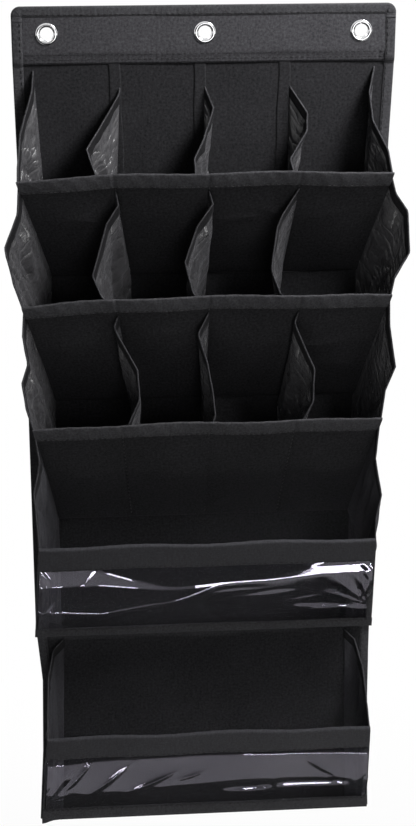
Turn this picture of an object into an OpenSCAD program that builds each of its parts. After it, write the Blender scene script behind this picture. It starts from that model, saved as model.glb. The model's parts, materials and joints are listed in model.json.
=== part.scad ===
// Hanging cloth organizer for glasses: three rows of four open wedge pockets over two wide pockets
// with clear fronts, sewn to one back panel that hangs from three eyelets in a stiffened header.
// Millimetres, +Z up. The origin is the centre of the middle eyelet, in the back panel's front face.
// The pockets stand out towards -Y. Sizes called drops are measured down from the top edge.

/* [Back panel] */
// Width of the back panel, edge to edge
organizer_w = 340; // [300:5:420]
// Height of the back panel, edge to edge
organizer_h = 824; // [800:2:1000]
// Thickness of the woven cloth
cloth_t = 1; // [0.6:0.1:1.6]
// Thickness of the thin lining cloth in the dividers and gussets
lining_t = 0.6; // [0.4:0.1:1]

/* [Header] */
// Height of the header band
header_h = 50; // [44:1:56]
// Thickness of the board inside the header
board_t = 2; // [1.5:0.1:3]
// Gap between the board and the stitches around it
board_margin = 10; // [9:1:14]
// Width of the folded edge tape that shows at the front
binding_w = 8; // [6:0.5:9]
// Thickness of the edge tape
binding_t = 0.6; // [0.4:0.1:0.8]

/* [Eyelets] */
// Bore of each eyelet
eyelet_bore = 12; // [10:0.5:14]
// Outer diameter of the eyelet flange
eyelet_od = 19.6; // [18:0.2:22]
// Wall of the eyelet barrel
eyelet_wall = 0.5; // [0.4:0.1:0.8]
// Distance between neighbouring eyelets
eyelet_pitch = 140; // [110:1:140]
// Drop of the eyelet centres below the top edge
eyelet_drop = 23; // [21:0.5:26]
// Height of the rounded flange over the cloth
eyelet_dome = 1.3; // [0.8:0.1:1.6]
// Thickness of the washer behind the cloth
washer_t = 0.6; // [0.4:0.1:1]
// Width of the barrel's lip, rolled back over the washer
lip_w = 1.6; // [1.2:0.1:2.4]

/* [Pocket rows] */
// How far each pocket's mouth stands out from the back panel
pocket_depth = 57; // [40:1:70]
// How far the lowest pocket's mouth stands out
low_pocket_depth = 50; // [36:1:60]
// Width of the pocket fronts at the mouth
mouth_w = 330; // [280:5:400]
// Width between the side seams on the back panel
seam_w = 284; // [240:2:300]
// Width between the side seams just under the header
top_seam_w = 304; // [284:2:320]
// Drop of the first row's hem
row_1_drop = 138; // [130:1:142]
// Drop of the second row's hem
row_2_drop = 251; // [248:1:254]
// Drop of the third row's hem
row_3_drop = 372; // [369:1:375]
// Drop of the fourth row's band
row_4_drop = 494; // [491:1:497]
// Drop of the fifth row's band
row_5_drop = 701; // [690:1:706]
// Height of the first front, from its hem down to its seam
row_1_front_h = 106; // [100:1:110]
// Height of the fronts of the second and third rows
mid_front_h = 115; // [108:1:117]
// Height of the fourth row's front, from its band down to its seam
row_4_front_h = 119; // [110:1:130]
// Gap from the lowest front's seam to the bottom edge
bottom_gap = 3; // [2:1:8]
// Height of the folded hem on the cloth fronts
hem_h = 14; // [10:1:18]
// Thickness of the folded hem's leaves
hem_t = 0.6; // [0.4:0.1:0.8]

/* [Clear fronts] */
// Thickness of the clear sheet
window_t = 0.6; // [0.4:0.1:1]
// Height of the cloth band over each window
band_h = 29; // [20:1:36]
// Height of the trim strip under each window
trim_h = 13; // [8:1:18]
// How far the clear sheet runs under the trim
window_lap = 6; // [4:1:7]

/* [Cloth shape] */
// How far the side gussets bulge outwards
gusset_bulge = 9; // [0:1:14]
// How far the dividers bow sideways at their free edge
divider_bow = 9; // [0:1:12]
// How far under a hem the next row's dividers and gussets start
under_hem = 4; // [2:1:8]

/* [Hidden] */

// Colours
oxford = [0.12, 0.12, 0.13];
tape = [0.16, 0.16, 0.17];
lining = [0.25, 0.25, 0.26];
board_grey = [0.55, 0.52, 0.47];
metal = [0.85, 0.85, 0.87];
vinyl = [0.6, 0.58, 0.66, 0.5];

// Clearance between sewn layers, and between a front and the seam that it folds on
seam_gap = 0.3;
// A clear front is as wide as the back panel, so its seam lies over the edge tapes
function front_gap(r) = r < 4 ? seam_gap : seam_gap + binding_t;
// Height of the flange's straight rim, under its rounded top
eyelet_rim = 0.3;
// Clearance of the eyelet barrel in its punched hole
punch_gap = 0.1;
smooth = 96;

top_z = eyelet_drop;
bottom_z = top_z - organizer_h;
header_z = top_z - header_h;
half_w = organizer_w / 2;
board_y = -board_t;
header_y = board_y - cloth_t;

// One row: [hem height, seam height, mouth depth]
rows = [
    [top_z - row_1_drop, top_z - row_1_drop - row_1_front_h, pocket_depth],
    [top_z - row_2_drop, top_z - row_2_drop - mid_front_h, pocket_depth],
    [top_z - row_3_drop, top_z - row_3_drop - mid_front_h, pocket_depth],
    [top_z - row_4_drop, top_z - row_4_drop - row_4_front_h, pocket_depth],
    [top_z - row_5_drop, bottom_z + bottom_gap, low_pocket_depth]
];
function hem_z(r) = rows[r - 1][0];
function seam_z(r) = rows[r - 1][1];
function depth(r) = rows[r - 1][2];
function front_rise(r) = hem_z(r) - seam_z(r);
function slant(r) = norm([depth(r), front_rise(r)]);
function lean(r) = atan(depth(r) / front_rise(r));

function lerp(a, b, f) = a + (b - a) * f;

// Half width of a cloth front where it stands the given distance out from the back panel
function front_half(out) = lerp(seam_w, mouth_w, out / pocket_depth) / 2;

// ---- Sheets between the back and a front ----
// A sheet runs from its back edge (u = 0) to its front edge (u = 1), and from the bottom seam (v = 0)
// to its free top edge (v = 1). Each place is [distance out, height].

// Room for the hem's inner leaf between a sheet's front edge and the front it is sewn to
sheet_room = hem_t + seam_gap;
// A point this close below the seam of the front above is set outside that front's lower edge
corner_room = 2 * (cloth_t + seam_gap);

// The back edge: up the back panel, and from the seam of the front above, up that front's outer face
function back_place(r, v) =
    let (low = seam_z(r) + sheet_room * 2 * front_rise(r) / depth(r))
    r == 1 ? [seam_gap, lerp(low, header_z - seam_gap, v)] :
    r == 5 ? [seam_gap, lerp(low, seam_z(4) - trim_h / 2, v)] :
    let (a = r - 1,
         rise = seam_z(a) - seam_gap - low,
         climb = slant(a) - hem_h - under_hem,
         turn = rise / (rise + climb))
    v <= turn - corner_room / (rise + climb)
        ? [seam_gap, lerp(low, seam_z(a) - seam_gap, v / turn)]
        : let (along = climb * max(0, v - turn) / (1 - turn))
          [along * sin(lean(a)) + (cloth_t + seam_gap) / cos(lean(a)) + seam_gap,
           seam_z(a) + along * cos(lean(a)) - seam_gap];

// The front edge: up the inside of the row's own front
function front_place(r, v) =
    let (low = slant(r) * 0.03 + 2 * sheet_room,
         along = lerp(low, slant(r) - hem_t, v))
    [along * sin(lean(r)) - sheet_room * cos(lean(r)), seam_z(r) + along * cos(lean(r)) + sheet_room * sin(lean(r))];

function back_half(r, v) =
    r == 1 ? lerp(seam_w, top_seam_w, v) / 2 : front_half(max(0, back_place(r, v)[0] - cloth_t - 3 * seam_gap));
function mouth_half(r, v) =
    r < 4 ? front_half(front_place(r, v)[0]) - seam_gap : mouth_w / 2 - 1;

// A closed thin sheet through the points of make(u, v), thickened by the vector thick
module thin_sheet(make, thick, nu, nv) {
    count = (nu + 1) * (nv + 1);
    face = [for (j = [0 : nv]) for (i = [0 : nu]) make(i / nu, j / nv)];
    points = concat([for (p = face) p - thick / 2], [for (p = face) p + thick / 2]);
    function at(i, j, side) = j * (nu + 1) + i + side * count;
    sides = [
        for (j = [0 : nv - 1]) for (i = [0 : nu - 1]) each [
            [at(i, j, 0), at(i + 1, j, 0), at(i + 1, j + 1, 0)],
            [at(i, j, 0), at(i + 1, j + 1, 0), at(i, j + 1, 0)],
            [at(i, j, 1), at(i + 1, j + 1, 1), at(i + 1, j, 1)],
            [at(i, j, 1), at(i, j + 1, 1), at(i + 1, j + 1, 1)]
        ]
    ];
    ends = [
        for (i = [0 : nu - 1]) each [
            [at(i, 0, 0), at(i, 0, 1), at(i + 1, 0, 1)], [at(i, 0, 0), at(i + 1, 0, 1), at(i + 1, 0, 0)],
            [at(i, nv, 0), at(i + 1, nv, 1), at(i, nv, 1)], [at(i, nv, 0), at(i + 1, nv, 0), at(i + 1, nv, 1)]
        ]
    ];
    edges = [
        for (j = [0 : nv - 1]) each [
            [at(0, j, 0), at(0, j + 1, 1), at(0, j, 1)], [at(0, j, 0), at(0, j + 1, 0), at(0, j + 1, 1)],
            [at(nu, j, 0), at(nu, j, 1), at(nu, j + 1, 1)], [at(nu, j, 0), at(nu, j + 1, 1), at(nu, j + 1, 0)]
        ]
    ];
    polyhedron(points, concat(sides, ends, edges));
}

// How far a free-standing stretch of sheet swells, from none at its sewn edges
function swell(u, v) = sin(180 * u) * sin(min(1, v * 1.1) * 100) ^ 2;

// side is -1 for the left divider, 0 for the centre one and 1 for the right one; bow is its sideways bow
module divider(r, side, bow) {
    color(lining)
        thin_sheet(
            function (u, v)
                let (b = back_place(r, v), f = front_place(r, v))
                [side * lerp(back_half(r, v), mouth_half(r, v), u) / 2 + bow * swell(u, v),
                 -lerp(b[0], f[0], u), lerp(b[1], f[1], u)],
            [lining_t, 0, 0], 6, 8);
}

// side is -1 for the left gusset and 1 for the right one
module gusset(r, side) {
    color(lining)
        thin_sheet(
            function (u, v)
                let (b = back_place(r, v), f = front_place(r, v))
                [side * (lerp(back_half(r, v), mouth_half(r, v) - lining_t, u) + gusset_bulge * swell(u, v)),
                 -lerp(b[0] + lining_t / 2, f[0], u), lerp(b[1], f[1], u)],
            side * lining_t * [1, side, 0] / sqrt(2), 6, 8);
}

// ---- Fronts ----
// Puts a front's own frame in place: X across, Y up the slant from the seam, Z out of its outer face
module on_front(r) {
    translate([0, -front_gap(r), seam_z(r)]) rotate([90 + lean(r), 0, 0]) children();
}

module cloth_front(r) {
    color(oxford) on_front(r)
        linear_extrude(cloth_t)
            polygon([[-seam_w / 2, 0], [seam_w / 2, 0], [mouth_w / 2, slant(r)], [-mouth_w / 2, slant(r)]]);
}

// A tape folded over the top edge of a sheet t thick
module fold_over(r, t, height) {
    on_front(r)
        rotate([90, 0, 90]) translate([0, 0, -mouth_w / 2])
            linear_extrude(mouth_w)
                difference() {
                    translate([slant(r) - height + hem_t, -hem_t]) square([height, t + 2 * hem_t]);
                    translate([slant(r) - height, 0]) square([height, t]);
                }
}

module hem(r) {
    color(tape) fold_over(r, cloth_t, hem_h);
}

module band(r) {
    color(oxford) fold_over(r, window_t, band_h);
}

module window(r) {
    color(vinyl) on_front(r)
        translate([-mouth_w / 2, trim_h - window_lap, 0]) cube([mouth_w, slant(r) - trim_h + window_lap, window_t]);
}

// The strip that sews the clear sheet to the back panel: a full leaf outside and a short one below it
module trim(r) {
    color(tape) on_front(r) {
        translate([-mouth_w / 2, 0, window_t]) cube([mouth_w, trim_h, hem_t]);
        translate([-mouth_w / 2, 0, 0]) cube([mouth_w, trim_h - window_lap, window_t]);
    }
}

// ---- Back, header and edges ----
module at_eyelets(which = [-1, 0, 1]) {
    for (i = which) translate([i * eyelet_pitch, 0, 0]) rotate([90, 0, 0]) children();
}

module eyelet_holes() {
    r = eyelet_bore / 2 + eyelet_wall + punch_gap;
    at_eyelets() cylinder(h = 40, r = r, center = true, $fn = smooth);
}

module back_panel() {
    color(oxford)
        difference() {
            translate([-half_w, 0, bottom_z]) cube([organizer_w, cloth_t, organizer_h]);
            eyelet_holes();
        }
}

module header_band() {
    color(oxford)
        difference() {
            translate([-half_w, header_y, header_z]) cube([organizer_w, cloth_t, header_h]);
            eyelet_holes();
        }
}

module header_board() {
    color(board_grey)
        difference() {
            translate([-half_w + board_margin, board_y, header_z + board_margin])
                cube([organizer_w - 2 * board_margin, board_t, header_h - 2 * board_margin + binding_w]);
            eyelet_holes();
        }
}

// A tape folded over an edge: the outside is the size given, and the layers it covers are cut out
module top_binding() {
    color(tape)
        difference() {
            translate([-half_w - binding_t, header_y - binding_t, top_z - binding_w])
                cube([organizer_w + 2 * binding_t, cloth_t - header_y + 2 * binding_t, binding_w + binding_t]);
            translate([-half_w, header_y, top_z - binding_w - 1])
                cube([organizer_w, cloth_t - header_y, binding_w + 1]);
        }
}

module side_binding(side) {
    low = bottom_z + binding_w;
    front_y = header_y - binding_t;
    color(tape)
        scale([side, 1, 1])
            difference() {
                union() {
                    translate([half_w - binding_w, front_y, header_z])
                        cube([binding_w + binding_t, cloth_t + binding_t - front_y, header_h - binding_w]);
                    translate([half_w - binding_w, -binding_t, low])
                        cube([binding_w + binding_t, cloth_t + 2 * binding_t, header_z - low + 1]);
                }
                translate([half_w - binding_w - 1, header_y, header_z])
                    cube([binding_w + 1, cloth_t - header_y, header_h]);
                translate([half_w - binding_w - 1, 0, low - 1])
                    cube([binding_w + 1, cloth_t, header_z - low + 2]);
            }
}

module bottom_binding() {
    // the front leaf stays under the lowest front's seam
    leaf = bottom_gap - seam_gap;
    color(tape)
        difference() {
            union() {
                translate([-half_w - binding_t, -binding_t, bottom_z - binding_t])
                    cube([organizer_w + 2 * binding_t, cloth_t + 2 * binding_t, leaf + binding_t]);
                translate([-half_w - binding_t, cloth_t, bottom_z - binding_t])
                    cube([organizer_w + 2 * binding_t, binding_t, binding_w + binding_t]);
            }
            translate([-half_w, 0, bottom_z]) cube([organizer_w, cloth_t, binding_w + 1]);
        }
}

// Domed flange, barrel and rolled back lip, turned about the bore
module eyelet(i) {
    r = eyelet_bore / 2;
    chord = (eyelet_od / 2 - r) / 2;
    rise = eyelet_dome - eyelet_rim;
    dome_r = (chord ^ 2 + rise ^ 2) / (2 * rise) + 0.05;
    front = -header_y;
    back = cloth_t + washer_t;
    color(metal)
        at_eyelets([i])
            rotate_extrude($fn = smooth)
                union() {
                    translate([r, -back - eyelet_wall]) square([eyelet_wall, front + back + eyelet_wall]);
                    translate([r, -back - eyelet_wall]) square([lip_w, eyelet_wall]);
                    translate([r, front]) square([2 * chord, eyelet_rim]);
                    intersection() {
                        translate([r + chord, front + eyelet_dome - dome_r]) circle(r = dome_r, $fn = smooth);
                        translate([r, front + eyelet_rim]) square([2 * chord, eyelet_dome]);
                    }
                }
}

module eyelet_washer(i) {
    r = eyelet_bore / 2 + eyelet_wall + punch_gap;
    color(metal)
        at_eyelets([i])
            translate([0, 0, -cloth_t - washer_t])
                difference() {
                    cylinder(h = washer_t, d = eyelet_od - 1, $fn = smooth);
                    translate([0, 0, -1]) cylinder(h = washer_t + 2, r = r, $fn = smooth);
                }
}

back_panel();
header_band();
header_board();
top_binding();
side_binding(-1);  // left_binding
side_binding(1);  // right_binding
bottom_binding();
eyelet(-1);  // eyelet_left
eyelet(0);  // eyelet_centre
eyelet(1);  // eyelet_right
eyelet_washer(-1);  // eyelet_washer_left
eyelet_washer(0);  // eyelet_washer_centre
eyelet_washer(1);  // eyelet_washer_right
cloth_front(1);  // row_1_front
hem(1);  // row_1_hem
divider(1, -1, -divider_bow);  // row_1_divider_left
divider(1, 0, -divider_bow / 2);  // row_1_divider_centre
divider(1, 1, divider_bow / 2);  // row_1_divider_right
gusset(1, -1);  // row_1_gusset_left
gusset(1, 1);  // row_1_gusset_right
cloth_front(2);  // row_2_front
hem(2);  // row_2_hem
divider(2, -1, -divider_bow);  // row_2_divider_left
divider(2, 0, -divider_bow);  // row_2_divider_centre
divider(2, 1, -divider_bow);  // row_2_divider_right
gusset(2, -1);  // row_2_gusset_left
gusset(2, 1);  // row_2_gusset_right
cloth_front(3);  // row_3_front
hem(3);  // row_3_hem
divider(3, -1, divider_bow);  // row_3_divider_left
divider(3, 0, divider_bow / 2);  // row_3_divider_centre
divider(3, 1, divider_bow);  // row_3_divider_right
gusset(3, -1);  // row_3_gusset_left
gusset(3, 1);  // row_3_gusset_right
band(4);  // row_4_band
window(4);  // row_4_window
trim(4);  // row_4_trim
gusset(4, -1);  // row_4_gusset_left
gusset(4, 1);  // row_4_gusset_right
band(5);  // row_5_band
window(5);  // row_5_window
trim(5);  // row_5_trim
gusset(5, -1);  // row_5_gusset_left
gusset(5, 1);  // row_5_gusset_right
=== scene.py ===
# %% [markdown]
# # A hanging cloth organizer for glasses
# The organizer is a tall cloth back with a stiff header, three rows of four open pockets, and two wide
# pockets with clear fronts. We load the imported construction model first: it fixes every size and place,
# and it brings the metal eyelets, which keep their exact turned shapes. The cloth parts in it are plain
# plates, so each of them is replaced below by a sheet with folds, hems and stitches.

# %% Load the frame
import json
import math

import bmesh
import bpy
import numpy as np
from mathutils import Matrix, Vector


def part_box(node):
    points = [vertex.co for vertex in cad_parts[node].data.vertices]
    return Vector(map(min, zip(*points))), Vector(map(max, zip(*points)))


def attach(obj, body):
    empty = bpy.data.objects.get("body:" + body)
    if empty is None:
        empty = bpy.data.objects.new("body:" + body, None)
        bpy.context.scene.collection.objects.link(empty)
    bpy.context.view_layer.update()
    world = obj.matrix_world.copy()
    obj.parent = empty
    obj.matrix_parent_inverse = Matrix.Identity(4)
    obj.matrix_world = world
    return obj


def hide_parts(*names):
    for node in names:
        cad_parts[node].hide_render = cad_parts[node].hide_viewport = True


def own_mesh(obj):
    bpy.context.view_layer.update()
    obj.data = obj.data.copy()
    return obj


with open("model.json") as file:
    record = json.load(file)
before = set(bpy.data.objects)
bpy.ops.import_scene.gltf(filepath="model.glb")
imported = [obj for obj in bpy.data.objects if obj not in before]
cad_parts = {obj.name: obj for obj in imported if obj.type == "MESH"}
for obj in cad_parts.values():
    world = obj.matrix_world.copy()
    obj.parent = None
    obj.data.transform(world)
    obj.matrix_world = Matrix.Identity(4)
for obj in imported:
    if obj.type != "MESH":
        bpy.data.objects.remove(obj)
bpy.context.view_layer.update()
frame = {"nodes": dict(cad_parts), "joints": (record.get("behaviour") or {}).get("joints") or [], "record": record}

# %% [markdown]
# ## Reading sizes from the frame
# A row of pockets is described by a few facts: where the front is sewn to the back (its seam), how high
# its mouth is, and how far the mouth stands out. The seam is the hinge line of the row's fold joint, and
# the rest comes from the boxes of the construction parts, so nothing here is typed twice.

# %% Sizes of the rows
MM = 0.001
back_low, back_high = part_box("back_panel")
header_low, header_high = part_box("header_band")
header_z = header_low.z
top_z = back_high.z
bottom_z = back_low.z
half_w = back_high.x
cloth_t = back_high.y - back_low.y

rows = {}
for joint in frame["joints"]:
    r = int(joint["name"].split("_")[1])
    low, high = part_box(f"row_{r}_front" if r < 4 else f"row_{r}_window")
    seam = Vector(joint["pos_m"])
    rows[r] = {
        "joint": joint["name"],
        "body": joint["child"],
        "gap": -seam.y,
        "seam_z": seam.z,
        "rise": high.z - seam.z,
        "out": -low.y + seam.y - 0.5 * MM,
        "fold_deg": joint["range_deg"][1],
    }
for r, row in rows.items():
    row["lean"] = math.atan2(row["out"], row["rise"])
    row["slant"] = math.hypot(row["out"], row["rise"])
    print(r, {k: round(v, 4) for k, v in row.items() if isinstance(v, float)})

# %% [markdown]
# ## How cloth is drawn in here
# Real cloth never hangs in a perfect rectangle. These few numbers say how wide each mouth gapes to the
# left and to the right, and how wide each front is where it is sewn to the back.

# %% How wide each front is
MOUTH_HALF = {1: (0.170, 0.164), 2: (0.169, 0.166), 3: (0.163, 0.161), 4: (0.161, 0.159), 5: (0.159, 0.161)}
SEAM_HALF = {1: (0.142, 0.142), 2: (0.142, 0.144), 3: (0.142, 0.140), 4: (0.168, 0.167), 5: (0.167, 0.168)}
HEM_H = 14 * MM
BAND_H = 29 * MM
TRIM_H = 13 * MM
print("half widths of the mouths", MOUTH_HALF)

# %% [markdown]
# ## Small shaping tools
# Cloth edges ease into each other, so nearly every shape below is made of three things: a mix of two
# values, a soft step from one to the other, and a bump that fades both ways. Kinked free edges are the
# one exception, and they run straight between chosen knots.

# %% Shaping tools


def mix(a, b, f):
    return a + (b - a) * f


def smooth_step(low, high, x):
    t = np.clip((x - low) / (high - low), 0, 1)
    return t * t * (3 - 2 * t)


def bump(x, centre, width):
    return np.exp(-(((x - centre) / width) ** 2))


def through(x, knots):
    """Straight lines through given (place, value) knots."""
    return np.interp(x, [k[0] for k in knots], [k[1] for k in knots])


def spaced(low, high, step):
    """Even places from low to high, about a step apart."""
    return np.linspace(low, high, max(2, int(round((high - low) / step)) + 1))


print("a soft step half way up is", float(smooth_step(0, 1, 0.5)))

# %% [markdown]
# ## The back
# The back hangs almost flat, with slow waves where the rows pull on it, and its long edges wander by a few
# millimetres. It is written as a function, so a divider can ask exactly where the cloth is that it is
# sewn to. In every such function, `n` is a distance off the surface, towards the viewer.

# %% Back surface
LEFT_EDGE = [(-0.801, 0.168), (-0.72, 0.163), (-0.64, 0.161), (-0.58, 0.166), (-0.30, 0.166),
             (-0.10, 0.1685), (-0.027, 0.1695), (0.023, 0.1695)]
RIGHT_EDGE = [(-0.801, 0.169), (-0.72, 0.165), (-0.62, 0.164), (-0.30, 0.165), (-0.10, 0.167),
              (-0.027, 0.1695), (0.023, 0.1695)]


def back_edge(z, side):
    return through(z, LEFT_EDGE if side < 0 else RIGHT_EDGE)


def back_wave(x, z):
    """How far the back hangs off flat: none in the stiff header, a millimetre or so below it."""
    slack = smooth_step(header_z, header_z - 0.12, z)
    slow = np.sin(x * 21 + 1.3) * np.sin(z * 17 + 0.4) + 0.6 * np.sin(x * 47 - z * 23)
    short = np.sin(x * 130 + z * 70 + 2 * np.sin(z * 31)) * np.sin(x * 37 - z * 19 + 1) ** 2
    first_row = smooth_step(-0.26, -0.15, z)
    folds = np.sin(x * 58 - z * 44 + 1.6 * np.sin(x * 23)) ** 3 * np.sin(x * 17 + z * 29 + 2) ** 2
    last_row = smooth_step(-0.52, -0.58, z) * smooth_step(-0.80, -0.70, z)
    return slack * (slow * 0.5 + short * first_row * 0.28 + last_row * folds * 0.9) * MM


def back_at(x, z, n=0.0):
    return np.stack([x + 0 * z, back_wave(x, z) - n, z + 0 * x], axis=-1)


print("half widths of the back under the header", [float(back_edge(header_z, side)) for side in (-1, 1)])

# %% [markdown]
# ## The fronts
# A front leans out from its seam to its mouth. Between the divider seams it bellies, and its mouth line
# sags at the ends. It is a function too: `a` runs from -1 at the left edge to 1 at the right edge, and
# `s` from 0 at the seam to 1 at the mouth.

# %% Front surface
# millimetres that the mouth line loses at the left and right ends, and that the fronts belly out
DROOP = {1: (5.5, 2.5), 2: (7.0, 2.0), 3: (3.0, 0.0), 4: (0.5, 1.0), 5: (1.0, 1.0)}
BELLY = {1: 2.2, 2: 2.6, 3: 2.8, 4: 1.6, 5: 1.4}


def front_half(r, a, s):
    left = mix(SEAM_HALF[r][0], MOUTH_HALF[r][0], s)
    right = mix(SEAM_HALF[r][1], MOUTH_HALF[r][1], s)
    return np.where(a < 0, left, right)


def front_at(r, a, s, n=0.0):
    """Places on the front of row r, n off its surface."""
    a = np.asarray(a, float)
    s = np.asarray(s, float)
    row = rows[r]
    x = a * front_half(r, a, s)
    out = row["gap"] + s * row["out"]
    up = row["seam_z"] + s * row["rise"]
    # between the seams of the dividers the cloth bellies out, and each cell has its own slackness
    cells = np.abs(np.sin(a * 2 * np.pi)) if r < 4 else 0.7 + 0.3 * np.cos(a * 5 + r)
    belly = BELLY[r] * MM * np.sin(np.clip(s, 0, 1) * np.pi) ** 0.8 * cells * (1 + 0.3 * np.sin(a * 9 + r))
    mouth = 1.3 * MM * smooth_step(0.55, 1.0, s) * np.sin(a * 7.5 + 2 * r) * (1 - a**4)
    fall = np.where(a < 0, DROOP[r][0], DROOP[r][1]) * MM * np.abs(a) ** 3 * s**2
    n = n + belly + mouth
    cos, sin = math.cos(row["lean"]), math.sin(row["lean"])
    return np.stack([x, -out - n * cos, up - n * sin - fall], axis=-1)


print("middle of each mouth", {r: front_at(r, 0.0, 1.0).round(4).tolist() for r in rows})

# %% [markdown]
# ## Camera
# The organizer hangs and is seen from a little above and slightly from its left side. The camera is
# placed by its bearing, its height and its distance from the middle eyelet, and looks down at 20 degrees.

# %% Camera
CAMERA_OUT = 1.653
CAMERA_UP = 0.2415
CAMERA_TURN = math.radians(4.5)
CAMERA_DOWN = math.radians(20)
camera = bpy.data.objects.new("camera", bpy.data.cameras.new("camera"))
bpy.context.scene.collection.objects.link(camera)
camera.data.lens = 80.3
camera.data.sensor_width = 36
camera.location = (-CAMERA_OUT * math.sin(CAMERA_TURN), -CAMERA_OUT * math.cos(CAMERA_TURN), CAMERA_UP)
camera.rotation_euler = (math.pi / 2 - CAMERA_DOWN, 0, -CAMERA_TURN)
camera.data.shift_x = 0.004
bpy.context.scene.camera = camera
print("camera stands at", [round(c, 3) for c in camera.location])

# %% [markdown]
# ## Materials
# Black cloth is never simply black, so every finish is built from nodes: threads, clouds of uneven dye,
# a trace of lint, creases. The effects that several materials share are built once, as node groups with
# named inputs. A few short helpers add the nodes that all of them need.

# %% Node helpers
def new_group(name, inputs, outputs):
    group = bpy.data.node_groups.new(name, "ShaderNodeTree")
    for label, kind, value in inputs:
        socket = group.interface.new_socket(label, in_out="INPUT", socket_type=kind)
        if value is not None:
            socket.default_value = value
    for label, kind in outputs:
        group.interface.new_socket(label, in_out="OUTPUT", socket_type=kind)
    return group, group.nodes.new("NodeGroupInput"), group.nodes.new("NodeGroupOutput")


def maths(tree, operation, a, b=None, clamp=False):
    node = tree.nodes.new("ShaderNodeMath")
    node.operation = operation
    node.use_clamp = clamp
    for slot, value in enumerate(v for v in (a, b) if v is not None):
        if isinstance(value, (int, float)):
            node.inputs[slot].default_value = value
        else:
            tree.links.new(value, node.inputs[slot])
    return node.outputs[0]


def noise(tree, vector, scale, detail=3.0, rough=0.5, stretch=None):
    if stretch:
        mapping = tree.nodes.new("ShaderNodeMapping")
        mapping.inputs["Scale"].default_value = stretch
        tree.links.new(vector, mapping.inputs["Vector"])
        vector = mapping.outputs[0]
    node = tree.nodes.new("ShaderNodeTexNoise")
    tree.links.new(vector, node.inputs["Vector"])
    if isinstance(scale, (int, float)):
        node.inputs["Scale"].default_value = scale
    else:
        tree.links.new(scale, node.inputs["Scale"])
    node.inputs["Detail"].default_value = detail
    node.inputs["Roughness"].default_value = rough
    return node.outputs["Fac"]


def bumped(tree, height, strength, distance, under=None):
    node = tree.nodes.new("ShaderNodeBump")
    node.inputs["Strength"].default_value = strength
    node.inputs["Distance"].default_value = distance
    tree.links.new(height, node.inputs["Height"])
    if under is not None:
        tree.links.new(under, node.inputs["Normal"])
    return node.outputs[0]


def two_tones(tree, factor, dark, light):
    """A colour that moves from dark to light with the factor, and no further."""
    node = tree.nodes.new("ShaderNodeMix")
    node.data_type = "RGBA"
    node.clamp_factor = True
    node.inputs["A"].default_value = (*dark, 1)
    node.inputs["B"].default_value = (*light, 1)
    tree.links.new(factor, node.inputs["Factor"])
    return node.outputs["Result"]


def ramp_between(tree, value, start, end, low, high):
    """Eases from low at start to high at end."""
    node = tree.nodes.new("ShaderNodeMapRange")
    node.interpolation_type = "SMOOTHSTEP"
    for socket, number in (("From Min", start), ("From Max", end), ("To Min", low), ("To Max", high)):
        node.inputs[socket].default_value = number
    tree.links.new(value, node.inputs["Value"])
    return node.outputs["Result"]


def new_material(name):
    material = bpy.data.materials.new(name)
    material.use_nodes = True
    return material, material.node_tree, material.node_tree.nodes["Principled BSDF"]


def cloth_place(tree):
    """Where a point lies on its cloth, in metres along the threads."""
    node = tree.nodes.new("ShaderNodeUVMap")
    node.uv_map = "cloth"
    return node.outputs[0]


print("helpers for nodes are ready for", bpy.app.version_string)

# %% [markdown]
# ## The weave
# The woven parts are a plain weave: threads cross over and under. A wave each way gives the rounded
# threads, and a checker of the two says which one is on top. A slow wobble keeps the threads from being
# ruled lines, and a stretched noise gives each thread its own tone.

# %% Weave group
def build_weave():
    """Crossing threads: a wave each way, and a checker that says which thread is on top."""
    group, given, result = new_group(
        "plain_weave",
        [("Vector", "NodeSocketVector", None), ("Threads per metre", "NodeSocketFloat", 1100.0)],
        [("Height", "NodeSocketFloat"), ("Thread", "NodeSocketFloat")])
    links = group.links
    split = group.nodes.new("ShaderNodeSeparateXYZ")
    wobble = noise(group, given.outputs["Vector"], 90.0, 2.0)
    links.new(given.outputs["Vector"], split.inputs[0])
    across = maths(group, "MULTIPLY", split.outputs["X"], given.outputs["Threads per metre"])
    along = maths(group, "MULTIPLY", split.outputs["Y"], given.outputs["Threads per metre"])
    across = maths(group, "ADD", across, maths(group, "MULTIPLY", wobble, 0.9))
    along = maths(group, "ADD", along, maths(group, "MULTIPLY", wobble, 0.7))
    warp = maths(group, "ABSOLUTE", maths(group, "SINE", maths(group, "MULTIPLY", across, math.pi)))
    weft = maths(group, "ABSOLUTE", maths(group, "SINE", maths(group, "MULTIPLY", along, math.pi)))
    turn = maths(group, "MULTIPLY", maths(group, "SINE", maths(group, "MULTIPLY", across, math.pi)),
                 maths(group, "SINE", maths(group, "MULTIPLY", along, math.pi)))
    top = maths(group, "GREATER_THAN", turn, 0.0)
    height = maths(group, "ADD", maths(group, "MULTIPLY", warp, maths(group, "ADD", top, 0.35)),
                   maths(group, "MULTIPLY", weft, maths(group, "SUBTRACT", 1.35, top)))
    links.new(maths(group, "MULTIPLY", height, 0.6), result.inputs["Height"])
    links.new(noise(group, given.outputs["Vector"], 700.0, 2.0, 0.6, (1, 0.12, 1)), result.inputs["Thread"])
    return group


weave_group = build_weave()
print("weave outputs", [o.name for o in weave_group.interface.items_tree if o.in_out == "OUTPUT"])

# %% [markdown]
# ## Mottling and creases
# Dye takes unevenly, lint settles, and thin polyester keeps the folds that it was packed with. One group
# gives the clouds, the grain and the lint; the other gives soft ridges in two directions.

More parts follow.
